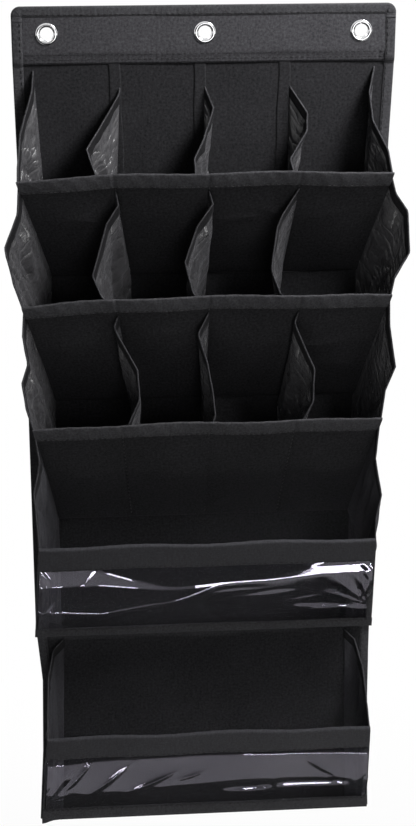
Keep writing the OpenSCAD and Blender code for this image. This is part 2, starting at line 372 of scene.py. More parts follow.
# %% Mottling and creases
def build_mottle():
    """A slow cloudy value and small specks, for uneven dye, lint and handling."""
    group, given, result = new_group(
        "cloth_mottle", [("Vector", "NodeSocketVector", None), ("Cloud size", "NodeSocketFloat", 14.0)],
        [("Cloud", "NodeSocketFloat"), ("Grain", "NodeSocketFloat"), ("Lint", "NodeSocketFloat")])
    cloud = noise(group, given.outputs["Vector"], given.outputs["Cloud size"], 5.0, 0.6)
    specks = noise(group, given.outputs["Vector"], 900.0, 1.0)
    group.links.new(cloud, result.inputs["Cloud"])
    group.links.new(noise(group, given.outputs["Vector"], 430.0, 3.0, 0.7), result.inputs["Grain"])
    lint = maths(group, "MULTIPLY", maths(group, "SUBTRACT", specks, 0.66), 8.0, clamp=True)
    group.links.new(lint, result.inputs["Lint"])
    return group


def build_creases():
    """Soft ridges in two directions, such as thin polyester keeps from being packed."""
    group, given, result = new_group(
        "packing_creases", [("Vector", "NodeSocketVector", None), ("Scale", "NodeSocketFloat", 22.0)],
        [("Height", "NodeSocketFloat")])
    heights = []
    for stretch in ((1, 0.28, 1), (0.5, 1.3, 1)):
        value = noise(group, given.outputs["Vector"], given.outputs["Scale"], 2.5, 0.5, stretch)
        ridge = maths(group, "ABSOLUTE", maths(group, "SUBTRACT", value, 0.5))
        heights.append(maths(group, "POWER", maths(group, "MULTIPLY", ridge, 2.0), 0.6))
    group.links.new(maths(group, "ADD", *heights), result.inputs["Height"])
    return group


mottle_group = build_mottle()
crease_group = build_creases()
print("node groups", [g.name for g in bpy.data.node_groups])

# %% [markdown]
# ## From groups to finishes
# Every cloth finish is the same recipe with its own values: the weave and the creases feed one bump,
# and the mottling and the threads move the colour a little either side of its base. The shader's own
# sockets hold what is the same all over, such as the sheen that lifts cloth at a grazing angle.

# %% Cloth finishes
def use_group(tree, group, vector, **values):
    node = tree.nodes.new("ShaderNodeGroup")
    node.node_tree = group
    tree.links.new(vector, node.inputs["Vector"])
    for label, value in values.items():
        node.inputs[label.replace("_", " ")].default_value = value
    return node


def cloth_finish(name, dark, light, rough, threads, weave_depth, crease_depth, crease_scale, sheen,
                 specular=0.5, grain=1.5):
    material, tree, shader = new_material(name)
    where = cloth_place(tree)
    weave = use_group(tree, weave_group, where, Threads_per_metre=threads)
    mottle = use_group(tree, mottle_group, where, Cloud_size=14.0)
    crease = use_group(tree, crease_group, where, Scale=crease_scale)
    # painted shade: the weave's height also lightens the colour, so the hollows between the threads come out
    # darker
    tone = maths(tree, "MULTIPLY", weave.outputs["Height"], 0.35)
    for value, weight in ((weave.outputs["Thread"], 0.4), (mottle.outputs["Grain"], grain),
                          (mottle.outputs["Cloud"], 0.45)):
        tone = maths(tree, "ADD", tone, maths(tree, "MULTIPLY", value, weight))
    tone = maths(tree, "SUBTRACT", tone, 0.15 + grain / 2)
    tone = maths(tree, "ADD", tone, maths(tree, "MULTIPLY", mottle.outputs["Lint"], 0.4))
    tree.links.new(two_tones(tree, tone, dark, light), shader.inputs["Base Color"])
    varied = maths(tree, "ADD", maths(tree, "MULTIPLY", mottle.outputs["Cloud"], 0.16), rough - 0.08)
    tree.links.new(varied, shader.inputs["Roughness"])
    folds = bumped(tree, crease.outputs["Height"], 1.0, crease_depth)
    fine = bumped(tree, weave.outputs["Height"], 0.75, weave_depth, folds)
    tree.links.new(fine, shader.inputs["Normal"])
    shader.inputs["Sheen Weight"].default_value = sheen
    shader.inputs["Sheen Roughness"].default_value = 0.45
    shader.inputs["Sheen Tint"].default_value = (0.85, 0.86, 0.92, 1)
    shader.inputs["Specular IOR Level"].default_value = specular
    return material


oxford = cloth_finish("oxford_cloth", (0.012, 0.012, 0.0135), (0.098, 0.096, 0.105), 0.78, 1150.0,
                      0.25 * MM, 0.35 * MM, 9.0, 0.03, 0.10)
band_cloth = cloth_finish("band_cloth", (0.009, 0.009, 0.0105), (0.074, 0.073, 0.082), 0.70, 1150.0,
                          0.2 * MM, 0.35 * MM, 9.0, 0.03, 0.14, 0.8)
# painted shade in part: the back and the fronts get a cloth far darker than the header's, partly their own tone
# and partly so that the pockets look deep
panel = cloth_finish("panel_cloth", (0.005, 0.005, 0.0055), (0.042, 0.0415, 0.045), 0.80, 1150.0,
                     0.22 * MM, 0.4 * MM, 8.0, 0.02, 0.06)
tape = cloth_finish("binding_tape", (0.014, 0.014, 0.0155), (0.085, 0.084, 0.091), 0.74, 1500.0,
                    0.18 * MM, 0.25 * MM, 30.0, 0.03, 0.12)
lining = cloth_finish("lining_cloth", (0.018, 0.0178, 0.0190), (0.098, 0.096, 0.102), 0.27, 2600.0,
                      0.04 * MM, 2.0 * MM, 46.0, 0.08, 1.0)
edging = cloth_finish("edging_tape", (0.004, 0.004, 0.0045), (0.016, 0.0155, 0.017), 0.75, 2200.0,
                      0.08 * MM, 0.2 * MM, 40.0, 0.02, 0.1)
# painted shade in part: the thread is nearly black, from its own dark tone and from the shade of the stitch holes
# and puckers, so each stitch shows as a dark dash
thread = cloth_finish("sewing_thread_painted_shade", (0.003, 0.003, 0.0035), (0.014, 0.014, 0.016), 0.45, 5000.0,
                      0.05 * MM, 0.0, 20.0, 0.03, 0.3)
print("cloth finishes", [m.name for m in (oxford, band_cloth, panel, tape, lining, edging, thread)])

# %% [markdown]
# ## Clear vinyl and plated metal
# The clear fronts are a soft plastic sheet: nearly smooth, faintly tinted, a real solid a fraction of a
# millimetre thick, so light passes through it and glances off both faces. The eyelets are bright plated
# steel; a fine swirl in the roughness and tiny scratches keep them from looking like liquid.

# %% Vinyl and metal finishes
def vinyl_finish():
    material, tree, shader = new_material("clear_vinyl")
    where = cloth_place(tree)
    ripples = noise(tree, where, 26.0, 1.0, 0.4, (0.3, 1, 1))
    smears = noise(tree, where, 60.0, 4.0, 0.6)
    tree.links.new(bumped(tree, ripples, 1.0, 0.25 * MM), shader.inputs["Normal"])
    tree.links.new(maths(tree, "MULTIPLY", smears, 0.06), shader.inputs["Roughness"])
    shader.inputs["Base Color"].default_value = (0.93, 0.92, 0.96, 1)
    shader.inputs["Transmission Weight"].default_value = 1.0
    shader.inputs["IOR"].default_value = 1.5
    shader.inputs["Specular Tint"].default_value = (0.86, 0.81, 1.0, 1)
    return material


def metal_finish():
    material, tree, shader = new_material("eyelet_metal")
    where = tree.nodes.new("ShaderNodeTexCoord").outputs["Object"]
    scratches = noise(tree, where, 900.0, 3.0, 0.6, (1, 6, 1))
    cloud = noise(tree, where, 160.0, 3.0)
    colour = two_tones(tree, cloud, (0.78, 0.78, 0.80), (0.90, 0.90, 0.91))
    tree.links.new(colour, shader.inputs["Base Color"])
    tree.links.new(bumped(tree, scratches, 0.5, 0.02 * MM), shader.inputs["Normal"])
    tree.links.new(maths(tree, "ADD", maths(tree, "MULTIPLY", cloud, 0.14), 0.05), shader.inputs["Roughness"])
    shader.inputs["Metallic"].default_value = 1.0
    return material


def board_finish():
    material, tree, shader = new_material("stiffener_board")
    where = tree.nodes.new("ShaderNodeTexCoord").outputs["Object"]
    fibres = noise(tree, where, 420.0, 4.0, 0.6, (1, 1, 0.2))
    colour = two_tones(tree, fibres, (0.24, 0.21, 0.17), (0.36, 0.33, 0.28))
    tree.links.new(colour, shader.inputs["Base Color"])
    tree.links.new(bumped(tree, fibres, 0.4, 0.1 * MM), shader.inputs["Normal"])
    shader.inputs["Roughness"].default_value = 0.85
    return material


vinyl = vinyl_finish()
print("clear sheet", vinyl.name)

# %% [markdown]
# ## The hard pieces
# The eyelets, their washers and the board inside the header keep their construction shapes: they were
# turned and cut to size there, with their true holes. Here they only get their finishes.

# %% Hard pieces
def finish_node(name, material):
    """Gives a construction part that stays as it is a better material."""
    item = frame["nodes"][name]
    item.data.materials.clear()
    item.data.materials.append(material)


metal = metal_finish()
for place in ("left", "centre", "right"):
    finish_node(f"eyelet_{place}", metal)
    finish_node(f"eyelet_washer_{place}", metal)
finish_node("header_board", board_finish())
print("hard pieces finished with", metal.name)

# %% [markdown]
# ## Making a sheet
# A sheet of cloth is a grid whose points come from a function. It could be sculpted by hand, but a
# function keeps its edges exactly on the seams. Each sheet is given its true thickness with Solidify,
# and a UV map called "cloth" in metres, so every weave is at the same real scale.

# %% Sheet helpers
def deselect_all():
    for item in bpy.context.selected_objects:
        item.select_set(False)


def apply_modifiers(item):
    deselect_all()
    bpy.context.view_layer.objects.active = item
    item.select_set(True)
    for modifier in list(item.modifiers):
        bpy.ops.object.modifier_apply(modifier=modifier.name)
    item.select_set(False)


def mesh_with_place(name, points, faces, place):
    """A mesh whose corners carry their place on the cloth, in metres, as the UV map of the finishes."""
    mesh = bpy.data.meshes.new(name)
    mesh.from_pydata(points.tolist(), [], faces)
    layer = mesh.uv_layers.new(name="cloth")
    corner = np.zeros(len(mesh.loops), np.int32)
    mesh.loops.foreach_get("vertex_index", corner)
    layer.data.foreach_set("uv", place[corner].astype(np.float32).ravel())
    return mesh


def grid_mesh(name, points, uvs, keep=None):
    """A mesh of quads over a grid of points; keep is a mask of the quads that are there."""
    nv, nu = points.shape[:2]
    index = np.arange(nu * nv).reshape(nv, nu)
    quads = np.stack([index[:-1, :-1], index[:-1, 1:], index[1:, 1:], index[1:, :-1]], axis=-1)
    quads = quads.reshape(-1, 4) if keep is None else quads[keep]
    return mesh_with_place(name, points.reshape(-1, 3), quads.tolist(), uvs.reshape(-1, 2))


def lengths_uv(points):
    """UVs in metres: the usual length between neighbours of the grid, each way."""
    along = np.median(np.linalg.norm(np.diff(points, axis=1), axis=2), axis=0)
    up = np.median(np.linalg.norm(np.diff(points, axis=0), axis=2), axis=1)
    u = np.concatenate([[0], np.cumsum(along)])
    v = np.concatenate([[0], np.cumsum(up)])
    return np.stack(np.meshgrid(u, v), axis=-1), (float(u[-1]), float(v[-1]))


def area_of(points):
    rising = points[1:, 1:] - points[:-1, :-1]
    falling = points[1:, :-1] - points[:-1, 1:]
    return float((np.linalg.norm(np.cross(rising, falling), axis=-1) / 2).sum())


def cloth_piece(name, points, thickness, materials, body, nodes=(), keep=None,
                bands=None, smooth=1):
    """A finished sheet from a grid of points. bands gives each grid row of quads its material number."""
    uvs, flat = lengths_uv(points)
    mesh = grid_mesh(name, points, uvs, keep)
    item = bpy.data.objects.new(name, mesh)
    bpy.context.scene.collection.objects.link(item)
    for material in materials:
        mesh.materials.append(material)
    if bands is not None:
        rows_of_faces = np.repeat(np.asarray(bands), points.shape[1] - 1)
        mesh.polygons.foreach_set("material_index", rows_of_faces.astype(np.int32))
    if smooth:
        finer = item.modifiers.new("finer", "SUBSURF")
        finer.levels = finer.render_levels = smooth
    wall = item.modifiers.new("thickness", "SOLIDIFY")
    wall.thickness = thickness
    wall.offset = 0.0
    apply_modifiers(item)
    item.data.polygons.foreach_set("use_smooth", np.ones(len(item.data.polygons), bool))
    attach(item, body)
    if nodes:
        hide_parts(*nodes)
    return item, flat, area_of(points)


test_strip = np.array([[[0.0, 0, 0], [0.2, 0, 0]], [[0.0, 0, 0.1], [0.2, 0, 0.1]]])
print("a strip of 200 by 100 mm has", round(area_of(test_strip), 4), "square metres")

# %% [markdown]
# ## Stitches
# A stitch is a short fat piece of thread that dips into the cloth at both ends. One is modelled from a
# low sphere, stretched and flattened, and then copied along each seam: a few dozen faces each is enough
# for something that is repeated more than a thousand times.

# %% One stitch
STITCH_PITCH = 5 * MM
bpy.ops.mesh.primitive_uv_sphere_add(segments=6, ring_count=5, radius=1)
stitch = bpy.context.active_object
bpy.ops.object.mode_set(mode="EDIT")
bpy.ops.mesh.select_all(action="SELECT")
bpy.ops.transform.rotate(value=math.pi / 2, orient_axis="Y", center_override=(0, 0, 0))
bpy.ops.transform.resize(value=(0.34, 0.11, 0.085), center_override=(0, 0, 0))
bpy.ops.object.mode_set(mode="OBJECT")
stitch_points = np.array([v.co for v in stitch.data.vertices])
stitch_faces = [tuple(p.vertices) for p in stitch.data.polygons]
bpy.data.objects.remove(stitch)
print("one stitch has", len(stitch_faces), "faces")

# %% [markdown]
# ## A row of stitches
# The machine sets one stitch every five millimetres. Each copy lies along its line and is turned so that
# its flat side faces out of the cloth, with a very small lean to one side and the other, as in real sewing.

# %% A row of stitches
def stitch_row(name, lines, body):
    """Stitches along lines; a line is (points, normals), both arrays of places about a stitch apart."""
    points = []
    faces = []
    for line, normals in lines:
        step = np.linalg.norm(np.diff(line, axis=0), axis=1)
        along = np.concatenate([[0], np.cumsum(step)])
        count = max(2, int(along[-1] / STITCH_PITCH))
        for i in range(count):
            at = (i + 0.5) * along[-1] / count
            ends = [np.array([np.interp(at + d, along, line[:, k]) for k in range(3)])
                    for d in (-STITCH_PITCH / 2, STITCH_PITCH / 2)]
            up = np.array([np.interp(at, along, normals[:, k]) for k in range(3)])
            forward = ends[1] - ends[0]
            forward /= max(np.linalg.norm(forward), 1e-9)
            side = np.cross(up, forward)
            side /= max(np.linalg.norm(side), 1e-9)
            up = np.cross(forward, side)
            lean = 0.06 * math.sin(i * 2.4)
            basis = np.stack([forward + lean * side, side, up])
            local = stitch_points * STITCH_PITCH @ basis + (ends[0] + ends[1]) / 2
            faces += [tuple(v + len(points) * len(stitch_points) for v in f) for f in stitch_faces]
            points.append(local)
    every = np.concatenate(points)
    mesh = mesh_with_place(name, every, faces, every[:, [0, 2]])
    mesh.materials.append(thread)
    mesh.polygons.foreach_set("use_smooth", np.ones(len(mesh.polygons), bool))
    item = bpy.data.objects.new(name, mesh)
    bpy.context.scene.collection.objects.link(item)
    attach(item, body)
    print(name, len(points), "stitches")


print("stitches are", round(STITCH_PITCH / MM, 1), "mm apart")

# %% [markdown]
# ## Holes and round corners
# The back and the header have round holes for the eyelets. A grid has no round holes, so the quads inside
# each hole are left out and the ones at its rim are pulled onto a circle, which the eyelet's flange
# covers. The two top corners are rounded in the same way.

# %% Holes in a grid
HOLE_R = 7.4 * MM
CORNER_R = 7 * MM
eyelet_x = [frame["record"]["mounts"][i]["pos_m"][0] for i in range(3)]


def pierce(points):
    """Pulls grid points near each eyelet onto its circle, and returns the quads that stay."""
    keep = np.ones((points.shape[0] - 1, points.shape[1] - 1), bool)
    for x in eyelet_x:
        away = np.stack([points[..., 0] - x, points[..., 2]], axis=-1)
        far = np.linalg.norm(away, axis=-1)
        inside = far < HOLE_R + 0.8 * MM
        gone = inside[:-1, :-1] & inside[1:, :-1] & inside[:-1, 1:] & inside[1:, 1:]
        keep &= ~gone
        scale = HOLE_R / np.maximum(far, 1e-6)
        points[..., 0] = np.where(inside, x + away[..., 0] * scale, points[..., 0])
        points[..., 2] = np.where(inside, away[..., 1] * scale, points[..., 2])
    return keep


def round_top_corners(points, half, top):
    """Moves the square top corners of a grid onto quarter circles."""
    x, z = points[..., 0], points[..., 2]
    dx = np.abs(x) - (half - CORNER_R)
    dz = z - (top - CORNER_R)
    corner = (dx > 0) & (dz > 0)
    factor = np.where(corner, np.maximum(dx, dz) / np.maximum(np.hypot(dx, dz), 1e-9), 1.0)
    points[..., 0] = np.where(corner, np.sign(x) * (half - CORNER_R + dx * factor), x)
    points[..., 2] = np.where(corner, top - CORNER_R + dz * factor, z)


print("eyelets at", [round(x, 3) for x in eyelet_x])

# %% [markdown]
# ## Back panel
# One cloth, cut to the full height of the organizer, carries everything. It hangs from the eyelets, so it
# is nearly flat, with fine rows of quads in the header, where the holes are, and wider ones below.

# %% Back panel
def back_panel():
    z = np.concatenate([spaced(bottom_z + 0.4 * MM, header_z - 4 * MM, 5 * MM)[:-1],
                        spaced(header_z - 4 * MM, top_z - 0.4 * MM, 2 * MM)])
    a = np.linspace(-1, 1, 171)
    grid_a, grid_z = np.meshgrid(a, z)
    half = np.where(grid_a < 0, back_edge(grid_z, -1), back_edge(grid_z, 1))
    points = back_at(grid_a * half, grid_z)
    points[..., 1] += cloth_t / 2
    keep = pierce(points)
    round_top_corners(points, half_w, top_z)
    item, flat, area = cloth_piece("back_panel_cloth", points, cloth_t * 0.9, [panel], "back",
                                   ["back_panel"], keep=keep, smooth=0)
    print("back panel cut", [round(f, 3) for f in flat], "polygons", len(item.data.polygons))


back_panel()

# %% [markdown]
# ## Header band
# A second cloth lies over the stiff board. It is flat where the board is, dips in at the two lines of
# stitches below it, and rolls under at its lower edge. Round each eyelet the flange draws it in.

# %% Header band
board_low, board_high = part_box("header_board")


def header_depth(x, grid_z):
    """How deep the middle of the header cloth lies at each place."""
    lower = grid_z - header_low.z
    dip = 0.9 * MM * (bump(lower, 5 * MM, 1.6 * MM) + bump(lower, 9.5 * MM, 1.6 * MM))
    roll = 1.6 * MM * (1 - smooth_step(0, 1.6 * MM, lower))
    edge = 1.2 * MM * smooth_step(half_w - 8 * MM, half_w - 3 * MM, np.abs(x))
    edge += 1.0 * MM * smooth_step(top_z - 8 * MM, top_z - 3 * MM, grid_z)
    # the board stops short of the right eyelet's outer side and leaves a slanting crease
    crease_x = 0.158 + (grid_z - header_z) * -0.12
    crease = 0.9 * MM * bump(x, crease_x, 1.6 * MM) * smooth_step(-30 * MM, -18 * MM, grid_z)
    slow = 0.35 * MM * np.sin(x * 38 + grid_z * 60)
    # the cloth is drawn in a little around each eyelet
    for centre in eyelet_x:
        far = np.hypot(x - centre, grid_z)
        slow = slow + 0.7 * MM * bump(far, 0, 13 * MM)
    settle = 1.5 * MM * (1 - smooth_step(0, 11 * MM, lower))
    y = header_low.y + cloth_t / 2 - 0.1 * MM + dip * 0.5 + roll * 0.3 + settle + edge + crease + slow
    beside = np.abs(x) < board_high.x + 1 * MM
    level = (grid_z > board_low.z - 1 * MM) & (grid_z < board_high.z + 1 * MM)
    return np.where(beside & level, np.minimum(y, board_low.y - 0.62 * MM), y)


def header_band():
    z = spaced(header_low.z, header_high.z - 0.4 * MM, 2 * MM)
    grid_a, grid_z = np.meshgrid(np.linspace(-1, 1, 171), z)
    x = grid_a * (half_w - 0.6 * MM)
    points = np.stack([x, header_depth(x, grid_z), grid_z], axis=-1)
    keep = pierce(points)
    round_top_corners(points, half_w, top_z)
    item, flat, area = cloth_piece("header_band_cloth", points, cloth_t * 0.9, [oxford], "back",
                                   ["header_band"], keep=keep, smooth=0)
    print("header cut", [round(f, 3) for f in flat], "polygons", len(item.data.polygons))


header_band()

# %% [markdown]
# ## Folded edge tapes
# The raw edges are wrapped in a folded tape. Its section is a narrow U, swept along the edge. Where the
# needle pulls it in, the tape puckers, so the section swells and pinches once per stitch.

# %% Sweeping a folded tape
TAPE_W = 8 * MM
TAPE_STEP = 1.25 * MM


def tape_section(front_y, back_y, width):
    """Points of the U, as (distance in from the edge, depth), from the front leaf round to the back."""
    middle = (front_y + back_y) / 2
    reach = (back_y - front_y) / 2
    leaf = np.linspace(0.6 * MM, width, 4)
    tucked = [(width + 0.3 * MM, front_y + 0.55 * MM)]
    front = [(d, front_y) for d in leaf[::-1]]
    turns = np.linspace(0.35, math.pi - 0.35, 5)
    turn = [(-0.7 * MM * math.sin(t), middle - reach * math.cos(t)) for t in turns]
    return tucked + front + turn + [(d, back_y) for d in leaf]


def sweep_tape(name, path, inward, section_at, node):
    """path and inward are places and directions along the edge; section_at(i) gives the U there."""
    grid = []
    for i, ((x, z), (in_x, in_z)) in enumerate(zip(path, inward)):
        grid.append([[x + d * in_x, y, z + d * in_z] for d, y in section_at(i)])
    points = np.array(grid).transpose(1, 0, 2)
    item, flat, area = cloth_piece(name, points, 0.6 * MM, [tape], "back", [node], smooth=0)
    print(name, "cut", [round(f, 3) for f in flat])


def pucker(i):
    """How far the tape swells at its i-th step along the edge."""
    return 0.07 * MM * math.cos(2 * math.pi * i * TAPE_STEP / STITCH_PITCH)


print("tape shows", round(TAPE_W / MM, 1), "mm wide")

# %% [markdown]
# ## Top tape
# At the two top corners the tape turns round a small radius, narrows, and its inner edge bunches into
# pleats. The path runs up the left end, over the top and down the right end.

# %% Top tape, with its two corners
def top_tape():
    drop = 6 * MM
    side = half_w - CORNER_R
    shoulder = top_z - CORNER_R
    edge = [((-half_w, z), (1, 0)) for z in np.arange(shoulder - drop, shoulder, TAPE_STEP)]
    for t in np.linspace(0, math.pi / 2, 12):
        place = (-side - CORNER_R * math.cos(t), shoulder + CORNER_R * math.sin(t))
        edge.append((place, (math.cos(t), -math.sin(t))))
    edge += [((x, top_z), (0, -1)) for x in np.arange(-side + TAPE_STEP, side, TAPE_STEP)]
    for t in np.linspace(0, math.pi / 2, 12):
        place = (side + CORNER_R * math.sin(t), shoulder + CORNER_R * math.cos(t))
        edge.append((place, (-math.sin(t), -math.cos(t))))
    edge += [((half_w, z), (-1, 0)) for z in np.arange(shoulder - TAPE_STEP, shoulder - drop, -TAPE_STEP)]
    path = [place for place, _ in edge]

    def section(i):
        x, z = path[i]
        turning = abs(x) > side and z > shoulder
        pleat = abs(0.55 * MM * math.sin(i * 1.9)) if turning else 0.0
        width = min(TAPE_W, CORNER_R * 0.9) if turning else TAPE_W
        front = header_low.y - 0.15 * MM - pucker(i) - pleat
        return tape_section(front, back_high.y + 0.4 * MM + pucker(i), width)

    sweep_tape("top_binding_tape", path, [inward for _, inward in edge], section, "top_binding")


top_tape()
print("top tape folded", round(TAPE_W / MM, 1), "mm deep")

# %% [markdown]
# ## Side and bottom tapes
# The side tapes follow the wandering edges of the back and step up where the header is thicker. The
# bottom tape ends in a small tail at the lower left, where the tapes meet.

# %% Side and bottom tapes
def side_tape(side):
    name = "left" if side < 0 else "right"
    z = np.arange(top_z - CORNER_R - 3 * MM, bottom_z + 1 * MM, -TAPE_STEP)
    path = [(side * (back_edge(h, side) + 0.5 * MM), h) for h in z]

    def section(i):
        x, h = path[i]
        thick = smooth_step(header_z - 3 * MM, header_z + 3 * MM, h)
        wave = float(back_wave(np.array(x), np.array(h)))
        front = mix(-0.35 * MM, header_low.y - 0.15 * MM, thick) - pucker(i) + wave
        return tape_section(front, back_high.y + 0.35 * MM + pucker(i) + wave, TAPE_W)

    sweep_tape(f"{name}_binding_tape", path, [(-side, 0)] * len(path), section, f"{name}_binding")


def bottom_tape():
    x = np.arange(-back_edge(bottom_z, -1), back_edge(bottom_z, 1) + TAPE_STEP, TAPE_STEP)
    tail = 4 * MM * bump(x, x[0], 9 * MM)
    path = [(h, bottom_z - t) for h, t in zip(x, tail)]

    def section(i):
        return tape_section(-0.25 * MM - pucker(i), back_high.y + 0.4 * MM + pucker(i), 7 * MM)

    sweep_tape("bottom_binding_tape", path, [(0, 1)] * len(path), section, "bottom_binding")


side_tape(-1)
side_tape(1)
bottom_tape()
print("edge tapes done")

# %% [markdown]
# ## Pocket fronts
# Rows 1 to 3 have cloth fronts. Each is a sheet on the front surface, drawn in along the lines where the
# dividers are sewn behind it, with slow ripples and a few short creases. The draws are seeded, so the
# creases come out the same each time.

# %% Cloth fronts
SEAMS = (-0.5, 0.0, 0.5)


def seam_pinch(a, half):
    """How far a seam draws the cloth in, near each divider line."""
    return sum(bump(a * half, s * half, 1.8 * MM) for s in SEAMS)


def front_creases(rng, grid_a, grid_s):
    """Slow ripples over the whole front, then short creases here and there."""
    ripple = np.zeros_like(grid_a)
    for _ in range(7):
        across, up, phase = rng.uniform(2, 9), rng.uniform(-5, 5), rng.uniform(0, 6.3)
        ripple += np.sin(grid_a * across + grid_s * up + phase) / 7
    total = 1.5 * MM * ripple * np.sin(grid_s * np.pi)
    for _ in range(7):
        at_a, at_s, turn = rng.uniform(-0.9, 0.9), rng.uniform(0.15, 0.7), rng.normal(0, 0.35)
        across = (grid_s - at_s) * math.cos(turn) - (grid_a - at_a) * math.sin(turn)
        length = (grid_a - at_a) * math.cos(turn) + (grid_s - at_s) * math.sin(turn)
        height = rng.uniform(1.0, 2.0) * MM
        total += height * np.exp(-np.abs(across) / 0.022) * bump(length, 0, rng.uniform(0.08, 0.22))
    return total


# the cut is taken as this much wider than the finished front; the share is a guess
FRONT_CUT_SHARE = 1.12


def cloth_front(r):
    grid_a, grid_s = np.meshgrid(np.linspace(-1, 1, 133), np.linspace(0, 0.985, 41))
    pinch = 0.8 * MM * seam_pinch(grid_a, 0.16)
    soft = front_creases(np.random.default_rng(40 + r), grid_a, grid_s) + 0.5 * cloth_t
    points = front_at(r, grid_a, grid_s, soft - pinch)
    item, flat, area = cloth_piece(f"row_{r}_front_cloth", points, cloth_t * 0.85, [panel], rows[r]["body"],
                                   [f"row_{r}_front"], smooth=1)
    return item, (flat[0] * FRONT_CUT_SHARE, flat[1]), area


print("cloth fronts will ride on", [rows[r]["body"] for r in (1, 2, 3)])

# %% [markdown]
# ## Folded hems and bands
# A mouth is finished with a folded strip: the same U as the edge tapes, but swept along the mouth, with a
# pinch at each divider seam. The bands over the clear fronts are made in the same way, only taller.

# %% Folded hems
def folded_edge(name, r, height, thick, material, node, seams=True):
    """A tape or band folded over the mouth: an outer leaf, a rounded top and an inner leaf."""
    a = np.linspace(-1.0, 1.0, 281)
    leaf = height / rows[r]["slant"]
    roll = 0.9 * MM / rows[r]["slant"]
    outer = [(1 - leaf * f, thick) for f in (1, 0.97, 0.8, 0.55, 0.3, 0.12)]
    top = [(1 + roll * math.sin(t), thick * math.cos(t)) for t in np.linspace(0.3, 2.84, 5)]
    inner = [(1 - leaf * f, -0.5 * MM) for f in (0.12, 0.5, 0.92)]
    grid = []
    for k, (s, n) in enumerate(outer + top + inner):
        line = np.full_like(a, n)
        if k < len(outer) + len(top):
            puff = 0.35 * MM * math.sin(math.pi * min(1, max(0, (1 - s) / leaf)))
            line = line + puff + 0.18 * MM * np.sin(a * 61 + s * 40)
        if k == 0:
            line = line - 0.55 * MM
        if seams:
            line = line - 0.7 * MM * seam_pinch(a, 0.16) * (1 if n > 0 else -0.4)
        grid.append(front_at(r, a, np.full_like(a, s), line + 0.5 * cloth_t))
    item, flat, area = cloth_piece(name, np.array(grid), 0.6 * MM, [material], rows[r]["body"], [node],
                                   smooth=1)


for r in (1, 2, 3):
    front, cut, front_area = cloth_front(r)
    folded_edge(f"row_{r}_hem_tape", r, HEM_H, 1.0 * MM, tape, f"row_{r}_hem")
    print("front", r, "is cut", [round(side / MM) for side in cut], "mm")

# %% [markdown]
# ## Dividers and gussets
# These are thin polyester, sewn between the back and a front, and free along their top edge. First come
# the lines that they are sewn to: up the back, up the front of the row above, and up the inside of the
# row's own front. Then come the creases, as ridges along random lines that fade at the seams.

# %% Sewn edges of one soft sheet
UNDER_HEM = 4 * MM
ROW_1_APEX = {"divider": header_z - 21 * MM, "gusset": header_z - 5 * MM}


def back_line(r, a, kind, v):
    """Where a sheet's back edge is sewn: up the back, then up the front of the row above."""
    low = rows[r]["seam_z"] + 2 * MM
    if r == 1:
        z = mix(low, ROW_1_APEX[kind], v)
        half = mix(SEAM_HALF[1][0], 0.153, v)
        return back_at(a * half, z, 0.4 * MM)
    if r == 5:
        z = mix(low, rows[4]["seam_z"] - 4 * MM, v)
        return back_at(a * mix(0.146, 0.140, v), z, 0.4 * MM)
    above = rows[r - 1]
    rise = above["seam_z"] - low
    climb = above["slant"] - (HEM_H + UNDER_HEM if kind == "divider" else 3 * MM)
    turn = rise / (rise + climb)
    z = mix(low, above["seam_z"], np.clip(v / turn, 0, 1))
    on_back = back_at(a * SEAM_HALF[r - 1][0] + 0 * v, z, 0.4 * MM)
    s = np.clip((v - turn) / (1 - turn), 0, 1) * climb / above["slant"]
    inset, lift = (1.0, 1.6 * MM) if kind == "divider" else (0.993, -0.8 * MM)
    on_front = front_at(r - 1, a * inset + 0 * v, s, lift)
    return np.where((v <= turn)[..., None], on_back, on_front)


def front_line(r, a, kind, v):
    """Where a sheet's front edge is sewn: up the inside of the row's own front."""
    inset, top = (1.0, 0.90) if kind == "divider" else (0.996, 0.985)
    return front_at(r, a * inset + 0 * v, mix(0.02, top, v), -1.0 * MM)


def crumple(u, v, seed, count, strength):
    """Creases: ridges along random lines that run mostly up the sheet, fading at the seams."""
    rng = np.random.default_rng(seed)
    total = np.zeros_like(u)
    for _ in range(count):
        angle = rng.normal(0.25, 0.4)
        at_u, at_v = rng.uniform(0.12, 0.9), rng.uniform(0.05, 0.95)
        across = (u - at_u) * math.cos(angle) + (v - at_v) * math.sin(angle) * 1.8
        length = (v - at_v) * math.cos(angle) - (u - at_u) * math.sin(angle)
        width, reach = 0.02 + 0.09 * rng.uniform() ** 2, rng.uniform(0.10, 0.45)
        total += rng.choice([-1, 1]) * np.exp(-np.abs(across) / width) * np.exp(-((length / reach) ** 2))
    return strength * total * np.sin(np.pi * u) ** 0.6


seam = back_line(2, 0.0, "divider", np.linspace(0, 1, 99))
seam_length = np.linalg.norm(np.diff(seam, axis=0), axis=-1).sum()
print("back seam of a row 2 divider", round(float(seam_length) / MM), "mm")

# %% [markdown]
# ## The bound free edge
# Each free edge is bound in a folded tape. It follows the edge down both faces of the sheet: a dark strip
# whose two borders get the lighter tape finish as a painted highlight, so its grid rows alternate between the two
# finishes.

# %% Binding a free edge
folding = []


def below_edge(points, down):
    """The line that lies a distance below the free edge, along the sheet."""
    step = np.linalg.norm(points[-1] - points[-2], axis=-1).mean()
    where = len(points) - 1 - down / step
    low = int(math.floor(where))
    return points[low] if low >= len(points) - 1 else mix(points[low], points[low + 1], where - low)


